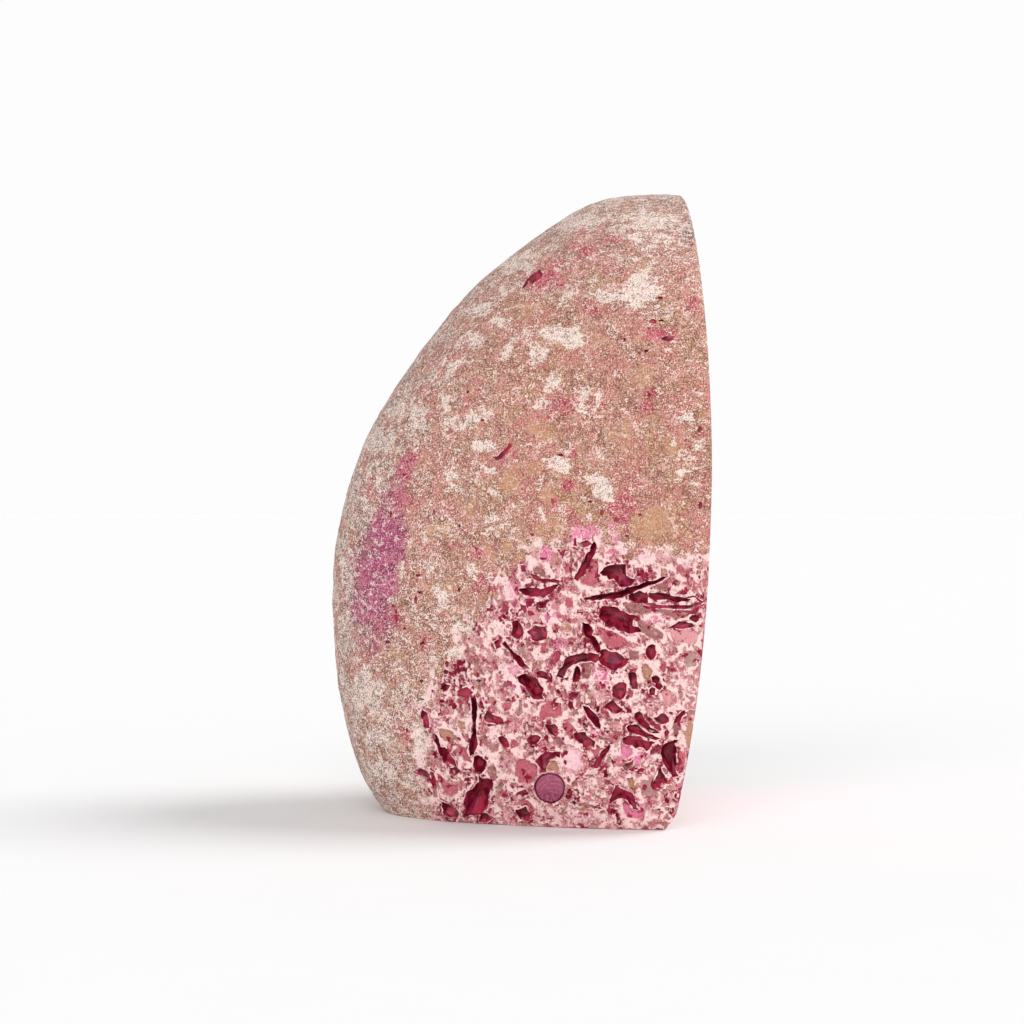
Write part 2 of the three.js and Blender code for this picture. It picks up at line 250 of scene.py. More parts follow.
def modelStone():
    startFresh()
    radius = stoneShape["startRadius"] * mm  # each ring is then put at its own place
    quarter = (math.pi / 2, 0, 0)
    bpy.ops.mesh.primitive_circle_add(vertices=stoneShape["around"], radius=radius, rotation=quarter)
    stone = bpy.context.object
    stone.name = "agateStone"
    bpy.ops.object.transform_apply(rotation=True)
    mesh = editMesh(stone)
    turn = mesh.verts.layers.float.new("turn")
    mesh.verts.layers.float.new("ring")
    for vertex in mesh.verts:
        vertex[turn] = math.atan2(vertex.co.z, vertex.co.x)
        vertex.select_set(True)
    mesh.select_flush(True)
    rings = ringPoints()
    for number, (kind, share) in enumerate(rings):
        if number:
            bpy.ops.mesh.extrude_region_move(TRANSFORM_OT_translate={"value": (0, mm, 0)})
        placeRing(stone, number, kind, share)
    front, centre = stoneShape["faceFront"], stoneShape["faceCentre"]
    closeRing(stone, len(rings) - 1, (0, front + stoneShape["depth"], stoneShape["domeTip"]))
    closeRing(stone, 0, (0, front + faceSwell(0, centre), centre))
    creaseRim(stone)
    bpy.ops.mesh.select_all(action="SELECT")
    bpy.ops.mesh.normals_make_consistent(inside=False)
    startFresh()
    applyModifier(stone, "SUBSURF", levels=2, render_levels=2)
    return stone


def sawFlats(stone):  # the foot, and the bevel between the foot and the polished face
    editMesh(stone)
    bpy.ops.mesh.select_all(action="SELECT")
    bpy.ops.mesh.bisect(plane_co=(0, 0, 0), plane_no=(0, 0, 1), use_fill=True, clear_inner=True)
    foot = stoneShape["faceFront"] + faceSwell(0, 0) + stoneShape["footBevelRun"]
    bpy.ops.mesh.select_all(action="SELECT")
    lean = Vector((0, stoneShape["footBevelRise"], stoneShape["footBevelRun"])).normalized()
    bpy.ops.mesh.bisect(plane_co=(0, foot * mm, 0), plane_no=lean, use_fill=True, clear_inner=True)
    startFresh()


# depth, then corners as seen from the side: distance along the depth axis and height, in turn
sidePits = [
    [2.2, -13.9, 52.8, -14.3, 51.6, -12.8, 48.2, -11.2, 46.1, -10.5, 46.5, -12.1, 49.6],
    [0.8, -11.2, 52.5, -12.7, 53.1, -13.5, 52.5, -12.1, 52.1],
    [1.6, -0.6, 43.8, -2.5, 44.2, -4, 44.1, -5.6, 44.6, -8.2, 45.5, -6.6, 44, -4.8, 42.5, -2.3, 43.2],
    [0.9, -3.1, 46.9, -4.5, 46.2, -7.4, 45.9, -5.2, 45.5, -3.3, 46],
    [2.3, -15.1, 47.3, -16.4, 48.6, -19.3, 48.4, -19.6, 46.9,
     -21.3, 46.2, -20.4, 45.3, -18.6, 45.2, -17.6, 46.4],
    [2.6, -12.2, 42.6, -14.6, 43.5, -18.2, 43.9, -21.8, 45.2,
     -27.2, 46.8, -25.4, 45.7, -21.8, 44.4, -18.9, 43.2, -14, 42.5],
    [2.0, -20.2, 43.4, -21.5, 43.9, -23.5, 44, -23.6, 42, -21.8, 42.2, -20.5, 42.7],
    [1.6, -24, 43.9, -25.4, 43.7, -29, 43.1, -31, 42.6, -29, 42.3, -26.5, 42.6, -24, 42.9],
    [0.6, -23.8, 42, -26, 41.7, -30.8, 41.5, -32.4, 42, -31.6, 42.8,
     -30, 42.7, -31.4, 42.9, -33, 42, -30.8, 41.1, -26, 41.2],
    [0.8, -27.5, 37.6, -28.5, 38.2, -29.2, 38.7, -30.3, 38.5,
     -31.3, 38.3, -31.7, 37.8, -30.8, 37.6, -29.2, 37.5],
    [1.3, -31, 39.4, -31.6, 39.7, -32.3, 39.6, -32.8, 39.3, -32.7, 38.7, -32.2, 38.4, -31.5, 38.6, -31, 39],
    [3.6, -15.3, 41.4, -16.8, 41.6, -18.2, 41.2, -18.7, 40.5,
     -21.8, 39.7, -21.1, 38.1, -22.2, 37, -20, 36.5, -15.7, 37.6],
    [2.2, -11.9, 38.4, -13.7, 37.5, -13.7, 36.2, -14.9, 34, -15.1, 32.9, -14, 34, -12.4, 36.2],
    [1.9, -15.1, 33, -16.2, 33.7, -18.6, 32.8, -20, 31.8, -19.6, 30.4, -17.8, 29.8, -15.5, 31.2],
    [1.3, -7.9, 28.8, -9.3, 31.7, -12.1, 32.8, -14.6, 32.5, -14.6, 31.4, -12, 31.4, -9.8, 30.4, -8.6, 28.5],
    [1.6, -23.8, 34.3, -25.1, 34.5, -25.1, 32.7, -24.3, 31.8, -23.4, 33.1],
    [2.1, 0.6, 37.9, -0.1, 38.1, -1.3, 37, -1.3, 35.6, -0.1, 34.7, 0.8, 35.8],
    [1.0, -2.1, 36.4, -3.4, 37.4, -5, 37.2, -5, 35.3, -3.8, 35, -2.5, 35.3],
    [1.8, 2, 34.6, 1, 33.4, -0.5, 31.9, -2.4, 29.8, -1.5, 29.9, -0.1, 31.2, 1.3, 33, 2.3, 34.2],
    [0.8, 3.9, 34.4, 3.3, 34.8, 3, 33.8, 3.6, 33.4],
    [3.1, -0.4, 28.2, -1.8, 28.7, -3.4, 27.9, -5, 26.4, -5.2, 24.2, -3.8, 24.1, -2.7, 25, -1.2, 27],
    [0.9, -3.8, 29, -4.7, 29.5, -5.6, 28.8, -5.4, 27.9, -4.3, 28.3],
    [1.6, -10.3, 28.9, -11, 30.2, -11.5, 30, -11.4, 28, -10.4, 27.5],
    [1.2, -20.4, 29.1, -21.4, 29.4, -21.7, 26.5, -20.9, 26.4],
    [1.3, -24.5, 28.6, -25.1, 28.9, -25.6, 28.5, -25.7, 27.8, -25.2, 27.5, -24.7, 28],
    [1.1, -25.2, 27.5, -26, 27.6, -26.3, 26.9, -25.8, 26.4, -25.2, 26.6, -25, 27.1],
    [0.9, -24.4, 26.7, -25, 26.5, -24.8, 25.6, -24.2, 25.5, -24.1, 26.2],
    [1.5, -17.5, 26.4, -18.6, 27.5, -20, 27.2, -19.9, 25.7, -18.6, 24.3, -17.5, 25],
    [1.2, -16.1, 22.7, -17.6, 23.7, -19.4, 22.5, -18.8, 21.6, -17.4, 22],
    [0.9, 10.6, 25, 9.1, 25.7, 8.2, 25, 8.7, 24.1, 10, 24.1],
    [0.8, 13.9, 25.3, 13.2, 26, 12.3, 25.9, 13, 25.1],
    [2.4, 8.1, 23.7, 7.6, 24, 7.4, 21.4, 7.2, 17.2, 7.6, 13.5, 8.4, 13.5, 8.2, 16.1, 7.9, 19.8],
    [1.2, 17.4, 21.2, 16.8, 20.7, 16.3, 18.4, 17.2, 18.4],
    [2.2, 15.1, 17.2, 14.4, 16.1, 14, 14.6, 12.7, 14.2, 11.2, 12, 11, 11.2, 13.1, 12.4, 14.7, 14.4],
    [0.9, 12.3, 10.9, 11.2, 11.1, 10.5, 10.5, 11.4, 9.5],
    [1.0, 19, 9.6, 18, 10.5, 16.3, 9.7, 16.8, 8.9, 18, 9.2],
    [0.9, 15.9, 10.2, 15.3, 9.9, 14.9, 7, 15.5, 7.2],
    [2.4, 7.7, 12.9, 6.3, 13.1, 5.4, 12.2, 5.6, 10.8, 6.8, 10.1, 7.7, 10.9],
    [3.8, 6.9, 10.2, 4.7, 8.7, 4.7, 6.3, 5.4, 4.4, 7.1, 2.6, 9.8, 1.6, 10.3, 3.1, 8.9, 6.2, 7.6, 8],
    [1.9, 13.5, 4, 12, 4, 10.9, 2.8, 10.9, 1.1, 12.4, 1.2, 13.8, 2],
    [1.0, 6.4, 2.3, 5.3, 2.4, 4.5, 1.4, 5.5, 0.7, 6.5, 1],
    [1.8, -0.2, 3, -1.6, 3, -2.8, 2.4, -2.5, 0.8, -1.4, 1.1, -0.6, 1.7],
    [1.8, -4, 13.5, -5.3, 14.8, -7.9, 14.6, -7.9, 13.3, -5.5, 13, -5.3, 10.9, -4.2, 10.9],
    [1.5, -10.8, 17.9, -12.6, 18, -14.1, 16.2, -14.2, 15.2, -12.4, 15.5, -11.2, 16.7],
    [1.6, -12.2, 22.8, -13.1, 22.6, -14.8, 20.6, -15.4, 18.2, -14.6, 19.3, -13.1, 20.8],
    [1.3, -16.9, 15.8, -17.1, 15.1, -14.9, 11.6, -14, 12, -14.6, 13.1, -15.7, 14.3],
    [1.6, -20, 18.8, -21.5, 19.4, -23.3, 18.3, -25.8, 17.1, -24.4, 17, -22.6, 17.5, -20.4, 18.1],
    [1.6, -19.5, 16.7, -21.8, 16.9, -25.1, 16.4, -23.6, 14.8, -21.8, 15.4, -20.4, 15.9],
    [1.5, -21.5, 21.2, -22.4, 22.1, -23.3, 20.3, -24.9, 18.8, -25.6, 18.3, -24, 18.4, -22.4, 19.7],
    [1.3, -25.1, 21.1, -26.5, 22, -27.6, 21.2, -26.9, 20.1, -25.4, 20.3],
    [2.3, -29.3, 17, -28.5, 16.3, -28.6, 13.9, -29.2, 10.4,
     -28.6, 10.3, -27.2, 11.8, -26.4, 14.5, -27.3, 16.3],
    [1.5, -26.3, 11.4, -27, 9.7, -27.2, 9, -26.1, 7.8, -25.3, 8, -25.6, 10.3],
    [1.2, -30.3, 22.7, -30.4, 22.1, -29.1, 20.5, -28.5, 20.1, -28.9, 21.3],
    [1.5, -18.3, 8.1, -20, 7.1, -21.4, 6, -22.3, 3.8, -21.4, 4, -20, 6, -18.5, 5.9, -17.3, 5],
    [0.9, -19.5, 11.7, -20.7, 12.3, -21.3, 12.9, -20.9, 11.5, -20, 11.2],
    [1.2, -5.4, 19.6, -7, 19.7, -7.9, 18.1, -7.2, 17.6, -6.1, 18.4],
    [1.2, 3.2, 17, 2.4, 17.2, 1.3, 16.4, 1.5, 15.3, 2.6, 15.5],
    [1.0, -2.1, 16.9, -3, 17.8, -4.3, 17.3, -3.4, 16.3, -2.5, 16.4],
    [0.9, 5.8, 20.6, 5, 21.6, 2.6, 20.4, 2.4, 19.7, 5, 19.7],
    [0.8, 0.8, 5.7, -1.6, 7.1, -2.1, 6.3, -0.9, 5.3, 0.6, 4.9],
    [0.9, -3.2, 102.6, -4.3, 103.3, -4.7, 102.4, -3.9, 101.6, -1.2, 100.3],
    [0.6, 4.2, 68.6, 3.3, 68, 2.2, 68.8, 1.2, 70.4, 1.5, 70.5, 2.4, 69.3, 3.4, 68.6],
]
farPits = [  # the far side, where the same broken zone runs on near the face and the foot
    [2.4, -28, 31, -25, 33.5, -20.5, 32.6, -21.5, 29.6, -25.4, 28.4],
    [2.8, -18, 22, -14.6, 24.6, -11.8, 22.4, -13, 18.6, -16.8, 18.8],
    [1.6, -30, 20.5, -27.4, 22.6, -24.6, 21, -26.6, 18.4],
    [1.8, -8, 13.2, -3.4, 14.6, -2, 12.2, -5.8, 10.6],
    [2.2, -24, 12.6, -19, 14.4, -16.8, 11.8, -20.2, 8.2, -23.6, 9.4],
    [1.4, -10, 31.4, -6.2, 32.2, -5, 30.2, -8.2, 29.2],
    [1.2, 4, 20, 7.2, 21.6, 8.4, 19.2, 5.6, 17.8],
    [0.9, -20, 27, -16.6, 27.6, -17, 26, -19.4, 25.4],
    [0.9, -12, 8, -9.4, 9.4, -8.8, 7.2, -11, 6.2],
    [0.8, -2, 22.4, 0.6, 24, 1.4, 22.6, -0.6, 21],
    [1.8, -31, 26.6, -27, 25.4, -22, 26.4, -22.4, 25.2, -27, 24.2, -30.6, 25],
    [1.4, -14, 29.4, -11.6, 27.6, -8.6, 26, -8, 26.8, -10.8, 28.6, -13.2, 30.4],
    [1.6, -31, 16.6, -27.6, 15.6, -24, 16.4, -23.6, 15.6, -27.4, 14.2, -30.8, 15],
    [1.2, -13.4, 14.4, -11, 16, -9.6, 17.4, -10.2, 18, -12, 16.8, -13.8, 15.2],
    [1.0, 1, 13.8, 3.4, 14.8, 5.6, 16.2, 5, 16.8, 2.8, 15.6, 0.6, 14.8],
    [0.9, -5, 6.8, -2, 6, 0.8, 6.2, 0.8, 7, -2.2, 7.2, -4.6, 7.8],
    [1.0, -27.6, 9.4, -26.4, 6.2, -25.6, 3.6, -26.4, 3.4, -27.6, 6, -28.4, 9],
]
# small dark specks: distance along, height, half length, half width
sideSpecks = [
    [-24.8, 93.1, 0.6, 0.35], [-26.4, 93.3, 0.4, 0.15], [-27.4, 90, 0.9, 0.45], [-19.7, 89.9, 0.3, 0.35],
    [-26.3, 97.5, 0.4, 0.25], [-31.3, 95.6, 0.4, 0.4], [-23.5, 87.8, 0.3, 0.25], [-22.3, 87.5, 0.2, 0.25],
    [-33, 73.2, 0.35, 0.4], [-8, 68.8, 0.5, 0.25], [-24, 79.7, 0.3, 0.4], [-33, 59.6, 0.3, 0.6],
    [-13.2, 60.2, 0.4, 0.2], [-15.4, 58.2, 0.35, 0.5], [-18.3, 56.9, 0.8, 0.35], [-22.2, 57.9, 0.25, 0.25],
    [-6.4, 60.3, 0.25, 0.5], [-1.5, 62.2, 0.2, 0.25], [-2.8, 54.2, 0.3, 0.3], [-19.8, 54, 0.3, 0.2],
    [7.6, 51.4, 0.4, 0.5], [15.2, 58.3, 0.2, 0.4], [23.5, 57.7, 0.2, 0.5], [28, 62, 0.2, 0.3],
    [9, 80, 0.2, 0.2], [15.3, 78.2, 0.2, 0.2], [21, 65, 0.25, 0.2], [6.3, 75, 0.35, 0.2],
    [10.5, 55.8, 0.25, 0.2], [18.2, 46.3, 0.35, 0.3], [18.6, 41.5, 0.25, 0.7], [17.8, 43, 0.35, 0.2],
    [22.4, 38.4, 0.25, 0.9], [23, 40.3, 0.3, 0.2], [20.8, 36, 0.3, 0.2], [24, 33.5, 0.5, 0.3],
    [17.4, 33.3, 0.5, 0.4], [17.7, 26.5, 0.3, 0.25], [17.5, 23.3, 0.4, 0.12], [20.5, 17.5, 0.15, 0.45],
    [20.3, 31.3, 0.2, 0.25], [15.8, 34.3, 0.2, 0.25], [16.7, 37.8, 0.4, 0.15], [5, 44, 0.25, 0.45],
    [10.6, 43.8, 0.2, 0.4], [5, 40.3, 0.5, 0.25], [1.8, 39.8, 0.25, 0.3], [-8.7, 63, 0.35, 0.3],
    [11.4, 29.8, 0.4, 0.2], [10.6, 28.6, 0.3, 0.3], [9.8, 27.4, 0.5, 0.3], [13, 28.4, 0.4, 0.35],
    [12.8, 29.9, 0.3, 0.5], [6.8, 27.4, 0.4, 0.25], [13.6, 23.2, 0.45, 0.3], [12.4, 22.6, 0.4, 0.2],
    [-9.7, 48.9, 0.3, 0.6], [-4.9, 40.2, 0.35, 0.3], [-9.2, 42.2, 0.35, 0.4], [-14.2, 39.6, 0.4, 0.3],
    [-32.9, 46.6, 0.2, 0.3], [-22.6, 11, 0.5, 0.25], [-15.2, 4, 0.5, 0.2],
    [-28.6, 3.8, 0.2, 0.4], [-29, 6.4, 0.2, 0.5], [-27.2, 18.4, 0.4, 0.5], [-6.8, 22.8, 0.2, 0.7],
]

pitShape = {
    "start": 0.9,  # the cutter begins this far outside the skin
    "edgeStep": 0.65, "slack": 0.25, "grow": 0.08, "bulgeGrain": 0.5, "bulge": 0.9, "bulgeShare": 0.8,
    "jog": 0.2, "slitShare": 0.35,
    "profile": [[0.45, 0.92], [0.35, 0.78], [0.2, 0.55]],  # share of the depth, size of the next ring
    "lean": (0.14, 0.18), "swayGrain": 0.8, "sway": 0.35, "swayShare": 0.2,
    "speckDepth": 0.5, "speckCorners": 7, "speckRagged": (0.75, 1.25),
    "cutterGap": 0.2, "pitSeed": 3, "speckSeed": 11,
}


def pairs(flat):
    return list(zip(flat[0::2], flat[1::2]))


def looseOutline(corners, dice):  # a broken edge: a slack curve through the corners, with small jogs
    rows = [Vector(corner) for corner in corners]
    outline = []
    for i, start in enumerate(rows):
        before, end, after = rows[i - 1], rows[(i + 1) % len(rows)], rows[(i + 2) % len(rows)]
        steps = max(1, round((end - start).length / pitShape["edgeStep"]))
        for step in range(steps):
            share = step / steps
            curve = curveThrough(before, start, end, after, share)
            outline.append(start.lerp(end, share).lerp(curve, pitShape["slack"]))
    following = outline[1:] + outline[:1]
    area = 0.5 * sum(a.x * b.y - a.y * b.x for a, b in zip(outline, following))
    length = sum((b - a).length for a, b in zip(outline, following))
    jog = min(pitShape["jog"], pitShape["slitShare"] * abs(area) / length)
    bulge = min(pitShape["bulge"], pitShape["bulgeShare"] * abs(area) / length)
    grown = []
    for i, point in enumerate(outline):
        along = following[i] - outline[i - 1]
        outward = Vector((along.y, -along.x)).normalized() * math.copysign(1, area)
        slow = noise.noise(Vector((point.x, point.y, area)) * pitShape["bulgeGrain"]) * bulge
        grown.append(point + outward * (pitShape["grow"] + slow + dice.uniform(-jog, jog)))
    return grown


def selectedMiddle(piece):
    mesh = bmesh.from_edit_mesh(piece.data)
    chosen = [vertex.co for vertex in mesh.verts if vertex.select]
    return sum(chosen, Vector()) / len(chosen)


def shapePit(side, depth, outline, lumpy):  # a cutter that narrows inwards from its mouth
    middle = sum(outline, Vector((0, 0))) / len(outline)
    normal = sideNormal(side, *middle)
    startFresh()
    bpy.ops.mesh.primitive_circle_add(vertices=len(outline), radius=mm)
    cutter = bpy.context.object
    mesh = editMesh(cutter)
    mesh.verts.ensure_lookup_table()
    firstShare, firstSize = pitShape["profile"][0]
    spread = 1 + (1 - firstSize) * pitShape["start"] / (firstShare * depth)
    for vertex, corner in zip(mesh.verts, outline):
        mouth = middle + (corner - middle) * spread
        vertex.co = (sidePoint(side, *mouth) + normal * pitShape["start"]) * mm
    bmesh.update_edit_mesh(cutter.data)
    bpy.ops.mesh.select_all(action="SELECT")
    bpy.ops.mesh.edge_face_add()
    bpy.ops.mesh.select_mode(type="FACE")
    lean = Vector((0, *pitShape["lean"])) * depth if lumpy else Vector()
    for number, (share, size) in enumerate(pitShape["profile"]):
        drop = share * depth + (0 if number else pitShape["start"])
        move = (lean * share - normal * drop) * mm
        bpy.ops.mesh.extrude_region_move(TRANSFORM_OT_translate={"value": tuple(move)})
        bpy.ops.transform.resize(value=(size, size, size), center_override=tuple(selectedMiddle(cutter)))
    bpy.ops.mesh.poke()
    if lumpy:
        mesh = bmesh.from_edit_mesh(cutter.data)
        mesh.verts.ensure_lookup_table()
        for vertex in mesh.verts[len(outline):]:
            shift = noise.noise_vector(vertex.co / mm * pitShape["swayGrain"])
            vertex.co += shift * min(pitShape["sway"], pitShape["swayShare"] * depth) * mm
        bmesh.update_edit_mesh(cutter.data)
    bpy.ops.mesh.select_all(action="SELECT")
    bpy.ops.mesh.normals_make_consistent(inside=False)
    startFresh()
    return cutter


def speckOutline(speck, dice):
    along, up, length, width = speck
    count = pitShape["speckCorners"]
    corners = []
    for i in range(count):
        angle = 2 * math.pi * i / count
        size = dice.uniform(*pitShape["speckRagged"])
        corners.append((along + length * size * math.cos(angle), up + width * size * math.sin(angle)))
    return [Vector(corner) for corner in corners]


def makeCutters():
    cutters = []
    for side, pits in ((-1, sidePits), (1, farPits)):
        for number, (depth, *flat) in enumerate(pits):
            dice = random.Random(number + pitShape["pitSeed"])
            cutters.append(shapePit(side, depth, looseOutline(pairs(flat), dice), True))
    dice = random.Random(pitShape["speckSeed"])
    for speck in sideSpecks:
        cutters.append(shapePit(-1, pitShape["speckDepth"], speckOutline(speck, dice), False))
    return cutters


def standApart(box, other, gap):  # each box is its lowest and its highest corner
    return (box[0] > other[1] + gap).any() or (box[1] < other[0] - gap).any()


def joinApart(cutters):  # cutters that would touch each other go into separate groups
    gap = pitShape["cutterGap"] * mm
    groups = []
    for cutter in cutters:
        corners = np.array([tuple(corner) for corner in cutter.bound_box])
        box = (corners.min(axis=0), corners.max(axis=0))
        for group in groups:
            if all(standApart(box, other, gap) for _, other in group):
                group.append((cutter, box))
                break
        else:
            groups.append([(cutter, box)])
    joined = []
    for group in groups:
        takeUp(group[0][0])
        for cutter, _ in group:
            cutter.select_set(True)
        if len(group) > 1:
            bpy.ops.object.join()
        joined.append(group[0][0])
    return joined


